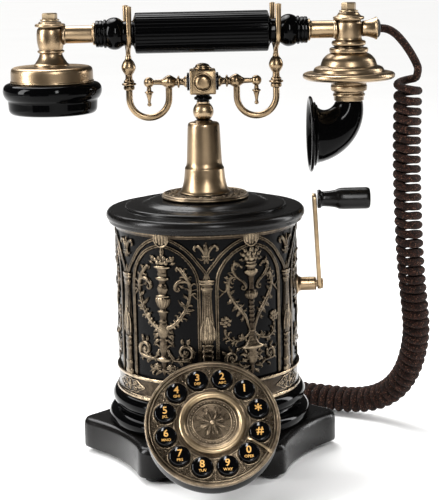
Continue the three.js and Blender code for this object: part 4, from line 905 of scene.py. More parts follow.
def bay_frame(half):
    """Double ribs of the inner arch with its legs, and of the outer arch that springs from the columns."""
    shape = Shape()
    k = half / 24.6
    inner = [(half, BAND_TOP - 1), (half, 90), (half, 118), (half - 0.3, 129.4), (half - 2.2, 137.2),
             (17.2 * k, 144.9), (10.4 * k, 150.3), (0, 153.3)]
    inner += [(-x, z) for x, z in reversed(inner[:-1])]
    outer = [(31.4, 131.8), (29.2, 136.4), (24.4, 142.7), (18.6, 149.6), (9.8, 155.6), (0, 158.2)]
    outer += [(-x, z) for x, z in reversed(outer[:-1])]
    for path in (inner, outer):
        for offset in (-0.62, 0.62):
            shape.add(relief(path, 0.66, steps=5, sides=6, offset=offset, base=0.55))
    return shape


def keystone():
    """Fluted pendant block over the crown of an arch."""
    shape = Shape()
    for across in (-3.3, -1.1, 1.1, 3.3):
        foot = 153.6 + abs(across) * 0.55
        shape.add(relief([(across, 161), (across, 158), (across * 0.86, foot)], [1.15, 1.1, 0.8], steps=3,
                         base=1.3, rise=1.0))
    shape.add(relief([(-4.9, 160.8), (-4.8, 157), (-3.4, 154.2), (0, 152.6), (3.4, 154.2), (4.8, 157),
                      (4.9, 160.8)], 0.6, steps=4, base=1.7))
    return shape


BAND_LOW, BAND_TOP, BAND_FACE = low("fretwork"), low("fretwork") + 15.7, 1.1
CORNICE_TOP = high("fretwork")


def panel_candelabrum():
    """Tall vase of flowers with leafy arms that curl in at the top."""
    shape = bay_frame(24.7)
    shape.add(keystone())
    shape.add(baluster([
        (0, 66.2), (0.9, 67.4), (2.2, 70.6), (1.3, 72.2), (2.4, 75.6), (5.9, 76.9), (6, 78.2), (3, 79.2),
        (2.2, 81), (3.4, 84), (3.1, 88), (2.3, 91.8), (3.6, 93.4), (4.4, 97), (3.5, 101), (2.6, 102.4),
        (3.3, 103.4), (2.3, 104.6), (2.8, 107), (3.3, 109), (4.2, 109.5), (4.2, 110.3), (2.5, 110.8),
        (2.3, 111.8)]))
    shape.add(baluster([(0, 111.4), (2.2, 111.8), (4, 113.4), (5.4, 116.4), (5.5, 118.4), (3.9, 119.2),
                        (0, 119.3)], flutes=12, depth=0.16, segments=48))
    shape.add(baluster([(0, 118.8), (5, 119.6), (5.1, 120.6), (2.6, 121.3), (3.2, 122.6), (4.1, 125),
                        (3.4, 127.4), (2.4, 128.3), (2.4, 130), (4.8, 131.2), (5.1, 132.4), (3.2, 133.3),
                        (3.6, 134.8), (3.1, 136), (3.9, 138.2), (6.2, 138.9), (6.3, 139.9), (4.2, 140.4),
                        (0, 140.6)]))
    for across, height, radius in ((0, 142.6, 2.2), (-3, 142.2, 1.7), (3, 142.2, 1.7), (-4.6, 144.2, 1.5),
                                   (4.6, 144.2, 1.5), (-1.7, 145.4, 1.7), (1.7, 145.4, 1.7),
                                   (-6.8, 145.6, 1.2), (6.8, 145.6, 1.2), (0, 147.6, 1.4)):
        shape.add(nub(across, height, radius, base=0.8))
    for side in (-1, 1):
        shape.add(leaf((side * 5.2, 143.2), (side * 8.8, 146.8), 1.3, -0.1 * side))
    shape.add(leaf((0, 146.6), (0, 153.4), 1.7))
    shape.add(both([(3, 98.8), (6.4, 100.2), (9, 102.2), (11.6, 105), (14, 108.4), (16.4, 112.8),
                    (18.4, 118.6), (19.2, 124.6), (18.6, 129.6), (16.6, 133.6), (14.2, 137),
                    (11.8, 139.3), (10.2, 138.8),
                    (10.6, 137.2)], [1.9, 1.8, 1.6, 1.5, 1.2, 1.1, 1.5, 1.7, 1.5, 1.1, 0.7]))
    shape.add(fronds([(6.4, 100.2), (11.6, 105), (14, 108.4), (16.4, 112.8), (18.4, 118.6), (19.2, 124.6),
                      (18.6, 129.6), (16.6, 133.6), (13, 138)], 2.5, 15))
    shape.add(fronds([(3.4, 78), (2.4, 84), (3, 90), (4, 96), (3, 100)], 2.4, 7))
    shape.add(fronds([(5, 79.6), (9, 77.4), (13, 78), (18, 79)], 2.3, 5))
    shape.add(fronds([(2, 68), (6, 70), (12, 70)], 2.4, 4))
    shape.add(both([(18.4, 130.2), (15.4, 131), (11.6, 130), (9.3, 127.6), (9.2, 125.2), (11, 124.2),
                    (12, 125.4), (11.2, 126.6)], [1.5, 1.6, 1.3, 1.0, 0.6]))
    for side in (-1, 1):
        for x, z in ((7.4, 100.9), (9.7, 103), (12.2, 106)):
            shape.add(relief([(side * (x - 1.5), z + 1.6), (side * (x + 1.5), z - 1.6)], 0.55, steps=3,
                             sides=6, base=1.5))
        shape.add(spiral(side * 15.2, 83.2, 5.4, side * 1.35, 90 - side * 150,
                         [(side * 3.2, 84), (side * 5.6, 79.6), (side * 8.6, 77.6)], (1.2, 1.6, 1.3, 0.8)))
    shape.add(leaves([((14, 134), (17.6, 135.4), 1.2), ((17.6, 131.8), (20, 132.4), 1.0),
        ((16.2, 113), (11, 118.2), 1.3), ((16.6, 111), (22, 112.2), 1.3),
        ((12, 128.4), (15.6, 126.2), 1.2), ((17.6, 119), (14.6, 122.4), 1.1)]))
    shape.add(leaves([((17.2, 87.6), (18.2, 92.6), 1.3), ((14, 88.4), (13.2, 92.4), 1.2),
        ((19.6, 80.4), (22.4, 84.2), 1.1), ((15.4, 77.8), (19.6, 76), 1.3),
        ((9.4, 77.8), (12.6, 74), 1.2), ((2.4, 95), (7.2, 90.6), 1.5), ((2.6, 91), (7.6, 86.6), 1.3),
        ((2.2, 72.6), (8.8, 72.6), 1.6), ((2.4, 71.6), (11, 68.4), 1.5), ((1.4, 69.6), (6.4, 66.2), 1.4),
        ((3.2, 97), (7.4, 95.4), 1.4)], 0.12))
    shape.add(both([(19.4, 124.8), (24, 125.8)], [0.9, 0.5], steps=3))
    shape.add(both([(19.8, 123.2), (24, 118.6)], [0.9, 0.5], steps=3))
    shape.add(leaves([((6.4, 141.6), (9.8, 142.8), 1.1)]))
    return round_wall(shape)


def panel_heart():
    """Flower finial on a screw stem between heart-shaped scrolls, rosettes and a bell flare."""
    shape = bay_frame(23.6)
    shape.add(keystone())
    shape.add(baluster([
        (0, 66), (0.9, 67), (1.8, 70), (1.4, 73), (3.4, 75), (4.2, 79), (3.2, 82.6), (5.4, 84),
        (8.8, 84.8), (8.9, 85.8), (6, 87), (4, 89.6), (2.8, 93), (2.2, 95.4), (3, 96), (3, 96.8),
        (1.9, 97.4), (2, 100)]))
    shape.add(baluster([(0, 99)] + [(2.3 if k % 2 else 1.6, 99.4 + k * 1.45) for k in range(13)]
                       + [(0, 117.6)]))
    shape.add(baluster([(0, 116.6), (2, 117), (3.8, 118.2), (4.9, 120.6), (3.8, 122.8), (2.2, 123.8),
                        (0, 124)], flutes=12, depth=0.15, segments=48))
    shape.add(baluster([(0, 123.4), (1.9, 123.8), (1.7, 128), (2.2, 132), (3.4, 133), (4.9, 134.6),
                        (5.1, 136.4), (3, 137.2), (3.3, 138.4), (4.4, 139.4), (4.4, 140.2), (3.2, 140.6),
                        (3.9, 141.6), (3.9, 142.2), (0, 142.4)]))
    for across, height, radius in ((0, 144.4, 2.4), (-3.2, 144.4, 1.8), (3.2, 144.4, 1.8),
                                   (-2, 147.4, 1.9), (2, 147.4, 1.9), (-5.4, 146.8, 1.4),
                                   (5.4, 146.8, 1.4), (-4.2, 149.6, 1.5), (4.2, 149.6, 1.5),
                                   (0, 150, 1.8)):
        shape.add(nub(across, height, radius, base=0.8))
    shape.add(fronds([(9.4, 131.8), (13.2, 133), (16, 130), (16.4, 126.4), (15, 121), (11.8, 115.6),
                      (7.6, 110), (4.2, 104.6)], 2.3, 12))
    shape.add(fronds([(3.4, 93), (7.4, 90.8), (12, 90.4), (16, 92), (18.4, 96)], 2.2, 6))
    shape.add(fronds([(3.6, 74), (4.6, 79), (3.6, 83)], 2.6, 5))
    shape.add(fronds([(4.4, 73), (9, 73), (14, 74.6), (18, 78)], 2.3, 5))
    shape.add(fronds([(6.9, 139.2), (9.8, 141.4), (12.8, 139.4), (11.8, 134.6)], 1.7, 4))
    for side in (-1, 1):
        shape.add(nub(side * 7, 139, 1.1))
        shape.add(nub(side * 6.3, 126.2, 1.0))
        shape.add(rosette(side * 18.2, 103.4, 4.1))
        shape.add(spiral(side * 14.4, 79, 4.2, side * 1.3, 90 - side * 140,
                         [(side * 4.4, 73), (side * 7.6, 73), (side * 10.4, 75)], (0.9, 1.3, 1.1, 0.7)))
    shape.add(leaves([((14.6, 131.6), (18.8, 133.4), 1.4), ((15.2, 121.2), (12, 124.4), 1.1),
        ((13.2, 117.6), (16.8, 115.2), 1.4), ((10.6, 113.8), (13.8, 110.2), 1.4),
        ((8, 110.4), (10.8, 106.4), 1.3), ((9, 112), (5.6, 114.4), 1.1),
        ((5.4, 106.6), (7.6, 102.8), 1.1)]))
    shape.add(leaves([((8.8, 90.6), (7.2, 95), 1.5), ((12.6, 90.6), (14.2, 86.8), 1.3),
        ((16.6, 93), (20.4, 91.4), 1.2), ((3.4, 79), (7.8, 81.4), 1.5), ((3, 77), (8.4, 76), 1.5),
        ((2, 73), (7.6, 70.6), 1.5), ((1.2, 70.2), (5.2, 66.4), 1.3),
        ((8.6, 85.2), (12, 82.6), 1.2)], 0.1))
    shape.add(both([(6.9, 139.2), (8.4, 140), (9.8, 141.4), (12.4, 140.6), (13, 138), (11.8, 134.6),
        (9.2, 131.6), (6, 129), (4.2, 126.4), (4.6, 124.4), (6.6, 124.4), (6.8, 126)],
        [0.6, 0.9, 1.2, 1.2, 1.1, 1.1, 1.0, 0.7]))
    shape.add(both([(9.4, 131.8), (13.2, 133), (15.6, 131), (16.4, 126.4), (15, 121), (11.8, 115.6),
        (7.6, 110), (4.2, 104.6), (2.6, 99.6),
        (0.9, 95.4)], [0.6, 1.4, 1.5, 1.3, 1.3, 1.6, 1.4, 1.0, 0.8]))
    shape.add(both([(0.9, 96.4), (3.4, 93), (7.4, 90.8), (12, 90.4), (16, 92), (18.4, 95.4), (18.6, 99)],
        [0.8, 1.0, 1.2, 1.3, 1.1, 0.9]))
    shape.add(both([(16.2, 125.4), (19, 123.6), (22.8, 126.6)], [0.8, 0.9, 0.5], steps=3))
    shape.add(both([(18.6, 123.8), (22.8, 119.6)], [0.8, 0.5], steps=3))
    shape.add(leaves([((4.4, 146), (8, 148.6), 1.3), ((3.4, 149.8), (6.6, 152), 1.2),
        ((4.8, 143.4), (8.4, 143.8), 1.2), ((17.4, 80.4), (21, 84), 1.2), ((14.6, 83), (16.4, 87), 1.1)]))
    return round_wall(shape)


def bay_column():
    """Slim column between bays: ringed foot, swelling leaf-cut shaft and stepped capital."""
    shape = baluster([(0, BAND_TOP - 0.6), (4.9, BAND_TOP - 0.6), (4.9, BAND_TOP + 2.4),
                      (3.9, BAND_TOP + 3.2), (3.7, BAND_TOP + 6), (4.4, BAND_TOP + 7),
                      (4.4, BAND_TOP + 8.2), (3.4, BAND_TOP + 9), (3.2, 79.4), (3.7, 80), (3.7, 81.2),
                      (3.2, 81.8), (3.2, 83), (3.8, 83.6), (3.8, 85), (3.2, 85.6), (3.3, 87),
                      (3.9, 87.6), (3.9, 88.6), (3.1, 89.2), (0, 89.3)])
    shape.add(baluster([(0, 89), (3.1, 89.2), (4.1, 92), (4.7, 97), (4.6, 102), (3.9, 108), (3.3, 114),
                        (3, 120), (3.1, 124), (0, 124.1)], flutes=12, depth=0.22, segments=84))
    for across, top in ((0, 108), (-2.7, 105), (2.7, 105)):
        shape.add(relief([(across * 1.2 - 1, 92), (across * 1.2 - 1.25, 98), (across - 0.7, top - 3),
                          (across * 0.9, top), (across + 0.7, top - 3), (across * 1.2 + 1.25, 98),
                          (across * 1.2 + 1, 92)], 0.34, steps=4, sides=6,
                         base=3.1 - abs(across) * 0.3))
    shape.add(baluster([(0, 123.6), (3.4, 123.8), (3.4, 125), (4, 125.4), (4, 127), (3.4, 127.4),
                        (3.7, 128.4), (4.9, 128.8), (5, 129.8), (4.3, 130.2), (5.2, 130.6),
                        (5.3, 131.8), (0, 132)]))
    shape.add(leaf((0, 131.6), (0, 137.6), 1.3))
    # Lily over the capital.
    shape.add(leaf((0, 147.6), (0, 156.6), 1.8, base=0.7))
    shape.add(relief([(-2.3, 147.2), (2.3, 147.2)], 0.8, steps=4, base=1.0))
    shape.add(leaf((0, 146.8), (0, 143.2), 1.3, base=0.6))
    shape.add(both([(1, 147.6), (1.9, 150.6), (4.3, 153.6), (6.6, 153.8), (7.6, 152), (6.8, 150.6)],
        [0.9, 1.2, 1.3, 1.0, 0.6], base=0.6))
    shape.add(both([(1, 146.4), (3, 144.8), (4.8, 146)], [0.8, 0.7, 0.4], steps=3, base=0.6))
    shape.add(both([(0.9, 148), (1.1, 142.6)], 0.6, steps=3, base=0.6))
    return round_wall(shape)


def band_cartouche():
    """Long diamond frame with scrollwork, on the plain band at the foot."""
    centre = (BAND_LOW + BAND_TOP) / 2
    shape = Shape()
    edge = [(15.6, 0), (11.4, 1.9), (7.4, 4.1), (3.4, 3.9), (0, 4.9)]
    edge += [(-x, z) for x, z in reversed(edge[:-1])]
    for side in (-1, 1):
        shape.add(relief([(x, centre + side * z) for x, z in edge], 0.5, steps=4, sides=6, base=1.15))
        for way in (-1, 1):
            shape.add(spiral(side * 5.4, centre + way * 1.5, 1.7, side * way * 1.1, 90 - side * 90,
                             [(side * 1.6, centre)], (0.5, 0.55, 0.4)).bent(
                lambda p: p + Vector((0, -0.7, 0))))
            shape.add(leaf((side * 7.8, centre + way * 0.4), (side * 11.6, centre + way * 0.9), 0.8,
                           base=1.1))
        shape.add(leaf((side * 10.6, centre), (side * 14.2, centre), 0.7, base=1.1))
        shape.add(leaf((0, centre + side * 1), (0, centre + side * 4), 0.9, base=1.1))
    shape.add(rosette(0, centre, 1.9).bent(lambda p: p + Vector((0, -0.6, 0))))
    outward = 1 + (BAND_FACE - 0.7) / WALL
    return round_wall(shape).bent(lambda p: Vector((p.x * outward, p.y * outward, p.z)))


COLUMN_TURN = -1
PANEL_A_TURN = -29.4
PANEL_B_TURN = 27.5
arcade = Shape()
band = rounded([
    (WALL - 0.1, BAND_LOW), (WALL + 2.7, BAND_LOW, 0.5), (WALL + 2.7, BAND_LOW + 1.9, 0.8),
    (WALL + 1.5, BAND_LOW + 2.6, 0.3), (WALL + BAND_FACE, BAND_LOW + 3.4, 0.2),
    (WALL + BAND_FACE, BAND_TOP - 3.2, 0.2), (WALL + 1.5, BAND_TOP - 2.5, 0.3),
    (WALL + 2.5, BAND_TOP - 1.8, 0.8), (WALL + 2.4, BAND_TOP, 0.5),
    (WALL - 0.1, BAND_TOP)], 0.3, 3, closed=True)
arcade.add(lathe(band, 144, closed=True))
cornice = rounded([
    (WALL - 0.1, CORNICE_TOP - 2.6), (WALL + 0.9, CORNICE_TOP - 2.6, 0.3),
    (WALL + 1, CORNICE_TOP - 1.6, 0.2), (WALL + 1.4, CORNICE_TOP - 1, 0.4),
    (WALL + 1.4, CORNICE_TOP, 0.2), (WALL - 0.1, CORNICE_TOP)],
    0.3, 3, closed=True)
arcade.add(lathe(cornice, 144, closed=True))
arcade.add(round_axis(band_cartouche(), 6, COLUMN_TURN + 1.5))
make("arcade_bands", arcade, "base", relief_brass, ["fretwork"], sharp=50)
for name, motif, count, start in (("arcade_columns", bay_column(), 6, COLUMN_TURN),
                                  ("arcade_candelabra", panel_candelabrum(), 3, PANEL_A_TURN),
                                  ("arcade_hearts", panel_heart(), 3, PANEL_B_TURN)):
    make(name, round_axis(motif, count, start), "base", relief_brass, sharp=50)

# ---------------------------------------------------------------- handset: grip and tubes
GRIP_HALF, GRIP_CORE, FLUTE_RIBS = 43.8, 12.9, 32
half_grip = [(GRIP_CORE, 0), (GRIP_CORE, 43, 0.2), (13.35, 43.2, 0.2), (13.35, GRIP_HALF, 0.3),
             (9.6, 45, 0.5), (8.2, 45.6, 0.4), (8.2, 52, 0.8), (9, 53, 0.6), (10.3, 55, 1.4),
             (10.8, 57.4, 1.6), (10.3, 60.4, 1.6), (9.1, 62.4, 0.6), (8.5, 62.8, 0.2), (9.4, 63.2, 0.4),
             (9.4, 64.5, 0.4), (8.3, 64.9, 0.2), (8.3, 65.3, 0.2), (8.8, 65.7, 0.3), (8.8, 67.3, 0.3),
             (8.4, 67.6, 0.2), (8.8, 67.9, 0.3), (8.8, 69.9, 0.5), (6.4, 70.6, 0.3), (0, 70.6)]
grip_profile = [(p[0], -p[1], *p[2:]) for p in reversed(half_grip[1:])] + half_grip[1:]
grip = lathe(rounded(grip_profile, 0.3, 4), 96)
rib = bar([(GRIP_CORE + 0.02, 0, -43.1), (GRIP_CORE + 0.02, 0, 43.1)], 1.16, 8, flat=0.5,
          facing=Vector((0, 1, 0)), round_end=0.1)
grip.add(round_axis(rib, FLUTE_RIBS))
make("grip_turned", along_x(grip, 0, HAND), "handset", gloss_black, ["handle_grip"])

RECEIVER_X = middle("receiver_shell", 0)
TRANSMITTER_X = middle("transmitter_bell", 0)
brushed_x = metal_finish("antique_brass_brushed_across", DEEP, (0.28, 0.2, 0.12), (0.48, 0.36, 0.23),
                         rough=(0.25, 0.35), recess=0.004, patches=0.15, tarnished=0.9)
for name, node, end in (("tube_right_turned", "tube_right", TRANSMITTER_X - 8.8),
                        ("tube_left_turned", "tube_left", -RECEIVER_X - 8.6)):
    tube = lathe(rounded([(0, 69), (7.4, 70.7), (7.4, 71.6, 0.3), (5.9, 72.2, 0.3), (5.8, 73),
                          (5.8, end - 1.6), (6.6, end - 0.8, 0.4), (6.6, end + 0.6),
                          (0, end + 1)], 0.3), 48)
    side = 1 if end == TRANSMITTER_X - 8.8 else -1
    make(name, along_x(tube).moved(spin(0 if side > 0 else 180)).moved(shift(0, 0, HAND)), "handset",
         brushed_x, [node])

# ---------------------------------------------------------------- handset: receiver
receiver_place = shift(RECEIVER_X, 0, HAND)
stem = lathe(rounded([
    (0, -20.1), (11.9, -20.1), (11.9, -19.3, 0.3), (10.8, -18.6, 0.6), (8.6, -15.4, 1.6),
    (7.5, -12.8, 1.2), (7.6, -11.8, 0.3), (8.9, -11.4, 0.4), (8.9, -10.2, 0.4), (7.8, -9.7, 0.3),
    (8.3, -8, 1), (9, -4.4, 2), (9.1, 0.8, 2), (8.6, 3.8, 1), (7.6, 4.8, 0.4), (7.8, 5.2, 0.2),
    (9.9, 5.5, 0.4), (10.1, 6.6, 0.5), (9.6, 7.3, 0.3), (7.7, 7.6, 0.3), (7.2, 8.8, 0.4),
    (0, 9)], 0.3, 4), 72)
make("receiver_stem_turned", stem.moved(receiver_place), "handset", brushed,
     ["receiver_stem"])


def hex_bolt(foot, top):
    bolt = lathe(rounded([(0, foot), (6.3, foot), (6.3, foot + 1, 0.3), (0, foot + 1.1)], 0.3), 48)
    bolt.add(lathe([(0, foot + 0.9), (5, foot + 0.9), (5.1, foot + 1.2), (5.1, top - 0.7), (4.5, top),
                    (0, top)], 6).moved(spin(12)))
    return bolt


make("receiver_bolt", hex_bolt(low("receiver_nut"), high("receiver_nut")).moved(shift(RECEIVER_X)),
     "handset", bright, ["receiver_nut"], sharp=25)
cup = lathe(rounded([
    (0, -29.4), (24, -29.4), (24, -31), (27.6, -31, 0.3), (27.9, -30.3, 0.4), (27.3, -29.6, 0.3),
    (27.2, -23.6, 1), (26.8, -21.8, 1.2), (25, -20.7, 1), (20, -20.3, 1), (12.4, -20.1, 0.3), (0, -20.1)],
    0.3, 4), 112)
make("receiver_cup", cup.moved(receiver_place), "handset", brushed, ["receiver_shell"])
ear_cap = lathe(rounded([
    (0, -43), (8, -43.2, 1), (15, -44.6, 2), (20.4, -49, 2), (22.6, -51.2, 1), (25, -51.6, 1),
    (27.6, -51.6, 1.6), (29.3, -49.6, 1.8), (29.6, -45, 1.6), (29.8, -42.6, 1), (31.4, -41.2, 1.4),
    (32.9, -38, 2.4), (32.8, -34.4, 2.2), (31.2, -32, 1.8), (28.6, -31.3, 0.8), (25.2, -31.2),
    (25.2, -33.8), (0, -33.8)], 0.4, 5), 112)
eyelet = lathe(rounded([(0.55, -43.6), (0.6, -43.9), (1.15, -43.9), (1.2, -43.2), (0.55, -43.2)], 0.15, 2),
               12, closed=True)
ear_cap.add(eyelet)
for count, reach, rise in ((6, 3.6, 0), (12, 7, -0.05)):
    ear_cap.add(round_axis(eyelet.moved(shift(reach, 0, rise)), count))
make("receiver_ear_cap", ear_cap.moved(receiver_place), "handset", gloss_black,
     ["receiver_cap"])

# ---------------------------------------------------------------- handset: transmitter
transmitter_place = shift(TRANSMITTER_X, 0, HAND)
stem = lathe(rounded([
    (0, -15.6), (12.4, -15.6, 0.3), (12.9, -14.9, 0.5), (12.9, -12.9, 0.5), (12.2, -12.3, 0.3),
    (9.9, -12, 0.3), (9.8, -11.2, 0.3), (11, -10.7, 0.6), (11.5, -9.3, 0.9), (11, -7.9, 0.6),
    (9, -7.3, 0.4), (8.5, -6.2, 0.6), (8.9, -3.6, 1.2), (9.3, 0.6, 2), (9, 4, 1.2), (8.1, 5.4, 0.5),
    (8.2, 5.9, 0.2), (10.2, 6.2, 0.4), (10.5, 7.4, 0.5), (9.9, 8.2, 0.4), (8.2, 8.6, 0.6),
    (7.2, 9.8, 0.8), (6.6, 10.9, 0.4), (0, 11)],
    0.3, 4), 72)
make("transmitter_stem_turned", stem.moved(transmitter_place), "handset", brushed,
     ["transmitter_stem"])
make("transmitter_bolt", hex_bolt(low("transmitter_nut"), high("transmitter_nut")).moved(
    shift(TRANSMITTER_X)), "handset", bright, ["transmitter_nut"], sharp=25)
bell = lathe(rounded([
    (0, -47.4), (9.9, -47.4, 0.3), (10, -44.7, 0.3), (10.7, -44.2, 0.3), (10.7, -43.1, 0.3),
    (10, -42.6, 0.3), (10.2, -41.4, 0.4), (11.9, -40.7, 0.5), (12.2, -37.8, 0.6), (11.5, -36.4, 0.5),
    (13, -34.7, 1), (20, -34.1, 1), (27.6, -33.6, 1.4), (30.4, -32.3, 1), (30.9, -30.6, 0.8),
    (30.4, -29.3, 0.8), (28.8, -28.5, 0.8), (26, -28.4, 0.4), (23.9, -28.2, 0.3), (23.5, -27, 0.6),
    (22.8, -25.5, 0.8), (20.6, -24.5, 0.6), (18.9, -24.1, 0.4), (18.6, -22.8, 1), (17.4, -19.6, 2),
    (14.6, -16.9, 1.6), (12.4, -15.9, 0.5), (0, -15.8)], 0.4, 4), 112)
make("transmitter_bell_turned", bell.moved(transmitter_place), "handset", brushed,
     ["transmitter_bell"])

HORN_TOP, HORN_BEND = -48.1, 21.5
HORN_SIDES = 56


def horn_station(share, extra, radius):
    angle = math.pi / 2 * min(share, 1)
    ahead = Vector((-math.sin(angle), 0, -math.cos(angle)))
    centre = Vector((-HORN_BEND * (1 - math.cos(angle)), 0, HORN_TOP - HORN_BEND * math.sin(angle)))
    centre += ahead * extra
    across = ahead.cross(Vector((0, 1, 0)))
    return centre, [centre + Vector((0, radius * math.cos(a), 0)) + across * radius * math.sin(a)
                    for a in (2 * math.pi * k / HORN_SIDES for k in range(HORN_SIDES))]


stations = [(0, 0.05, 8.8), (0, 0.4, 9.3)]
stations += [(k / 18, 0.4 * (1 - k / 18), 9.3 + 10.3 * (k / 18) ** 1.15) for k in range(1, 19)]
stations += [(1, extra, radius) for extra, radius in (
    (0.5, 19.9), (0.9, 20.4), (1.2, 21.3), (1.6, 21.6), (2, 21.4), (2.2, 20.9), (2.5, 21), (2.9, 22.6),
    (3.3, 24.6), (3.8, 25.3), (4.4, 25.5), (5, 25.3), (5.4, 24.7), (5.5, 23.6), (5, 21.8), (3.6, 19.6),
    (1.6, 17.8))]
stations += [(k / 18, 0, 7 + 9.4 * (k / 18) ** 1.15) for k in range(17, 5, -2)]
horn_rings = [horn_station(*station) for station in stations]
horn = skin([ring for centre, ring in horn_rings], cap=(horn_rings[0][0], horn_rings[-1][0]))
make("horn_moulded", horn.moved(transmitter_place), "handset", gloss_black, ["mouthpiece"])

gland_start, gland_end = low("cord_gland", 0) - TRANSMITTER_X, high("cord_gland", 0) - TRANSMITTER_X
gland = lathe(rounded([
    (0, gland_start - 0.6), (5.2, gland_start - 0.6), (5.2, gland_start + 1.6, 0.5),
    (5.7, gland_start + 4.2, 1), (6.8, gland_start + 7.4, 1), (7.6, gland_start + 8.4, 0.4),
    (7.6, gland_start + 9.2, 0.4), (0, gland_start + 9.3)], 0.3), 48)
make("cord_gland_turned", along_x(gland, TRANSMITTER_X, HAND), "handset", brushed_x,
     ["cord_gland"])
gland_ring = lathe(rounded([(0, gland_start + 9.2), (6.2, gland_start + 9.2), (6, gland_end - 0.9, 0.5),
                            (4.2, gland_end, 0.4), (0, gland_end)], 0.3), 40)
make("cord_gland_sleeve", along_x(gland_ring, TRANSMITTER_X, HAND), "handset", rubber)

# ---------------------------------------------------------------- dial
# The dial is drawn lying flat, face up, and set on its tilted place.
DIAL_TILT, DIAL_TURN = 41, 1.6
DIAL_MIDDLE = (-SHELL_RADIUS - 44.4, 49.8)
DIAL_PLACE = shift(0, *DIAL_MIDDLE) @ spin(90 - DIAL_TILT, "X") @ spin(DIAL_TURN)
DIAL_RADIUS, KEY_CIRCLE, KEY_RADIUS, KEY_TOP = 42.6, 30.3, 6.8, 3.2
CAN_RADIUS, CAN_DEPTH = 42.2, 16.3
KEYS = (("1", ""), ("2", "ABC"), ("3", "DEF"), ("4", "GHI"), ("5", "JKL"), ("6", "MNO"), ("7", "PRS"),
        ("8", "TUV"), ("9", "WXY"), ("0", "OPER"), ("#", ""), ("*", ""))
KEY_BODIES = ("key_1", "key_2", "key_3", "key_4", "key_5", "key_6", "key_7", "key_8", "key_9", "key_0",
              "key_hash", "key_star")


def pierced(shape, cutter):
    """The shape with the cutter taken away."""
    solids = []
    for part in (shape, cutter):
        mesh = bpy.data.meshes.new("solid")
        mesh.from_pydata(part.points, [], part.faces)
        solid = bpy.data.objects.new("solid", mesh)
        bpy.context.scene.collection.objects.link(solid)
        solids.append(solid)
    modifier = solids[0].modifiers.new("holes", "BOOLEAN")
    modifier.operation, modifier.solver, modifier.object = "DIFFERENCE", "EXACT", solids[1]
    bpy.context.view_layer.update()
    depsgraph = bpy.context.evaluated_depsgraph_get()
    made = bpy.data.meshes.new_from_object(solids[0].evaluated_get(depsgraph))
    result = Shape([v.co for v in made.vertices], [p.vertices for p in made.polygons])
    for solid in solids:
        bpy.data.objects.remove(solid)
    return result


plate = lathe(rounded([
    (0, -1.6), (DIAL_RADIUS, -1.6, 0.3), (DIAL_RADIUS, 0.9, 0.4), (DIAL_RADIUS - 0.6, 1.4, 0.3),
    (DIAL_RADIUS - 1.7, 1.4, 0.3), (DIAL_RADIUS - 2.1, 0.6, 0.2), (DIAL_RADIUS - 2.6, 0.5, 0.15),
    (DIAL_RADIUS - 3, 1, 0.2), (DIAL_RADIUS - 3.6, 1, 0.2), (DIAL_RADIUS - 4, 0, 0.2),
    (24.6, 0, 0.1), (24.2, 0.6, 0.2), (23.4, 0.6, 0.2), (23, 0, 0.1), (0, 0)], 0.2, 3), 144)
HOLE_RADIUS = KEY_RADIUS + 0.35
key_hole = lathe([(0, -3), (HOLE_RADIUS, -3), (HOLE_RADIUS, 3), (0, 3)], 40).moved(shift(KEY_CIRCLE))
plate = pierced(plate, round_axis(key_hole, 12, 15))
bezel = lathe(rounded([(HOLE_RADIUS, -0.2), (KEY_RADIUS + 1.1, -0.2), (KEY_RADIUS + 1, 0.35),
                       (KEY_RADIUS + 0.5, 0.45)], 0.15, 2, closed=True), 40, closed=True)
plate.add(round_axis(bezel.moved(shift(KEY_CIRCLE)), 12, 15))
FACE = 0.02
between = Shape()
for side in (-1, 1):
    for centre, radius, turns, start, tail in (
            ((36.9, 2.2), 1.5, 1.25, 200, [(33.2, 0.6), (34.6, 0.5)]),
            ((33.4, 2.4), 1.1, -1.1, 10, [(36.4, 0.5), (35, 0.9)]),
            ((26.6, 2.2), 1.2, 1.1, 160, [(30.4, 0.4), (28.6, 0.6)])):
        points = scroll_points(centre, radius, turns, start, tail)
        between.add(level_stroke([(x, side * y) for x, y in points], [0.25, 0.5, 0.42, 0.3], FACE, 3))
    for points in ([(31.6, 0.4), (31.2, 1.6), (29.6, 2.6)], [(37.8, 4), (37.4, 5.6), (36.2, 6.8)],
                   [(38.4, 1.2), (38.8, 3.4), (38.5, 6.4), (38.9, 8.4)], [(25.6, 3.6), (25.4, 5),
                           (25.9, 6.2)]):
        between.add(level_stroke([(x, side * y) for x, y in points], [0.15, 0.45, 0.12], FACE, 3))
between.add(level_stroke([(28.8, 0), (31, 0), (33.4, 0)], [0.2, 0.7, 0.15], FACE, 3))
between.add(level_stroke([(34.8, 0), (36.4, 0), (38.6, 0)], [0.2, 0.75, 0.15], FACE, 3))
between.add(ball(0.6, (34.2, 0, FACE), 5, 8))
plate.add(round_axis(between, 12, 0))
make("dial_plate_engraved", plate.moved(DIAL_PLACE), "base", engraved, ["dial_plate"])

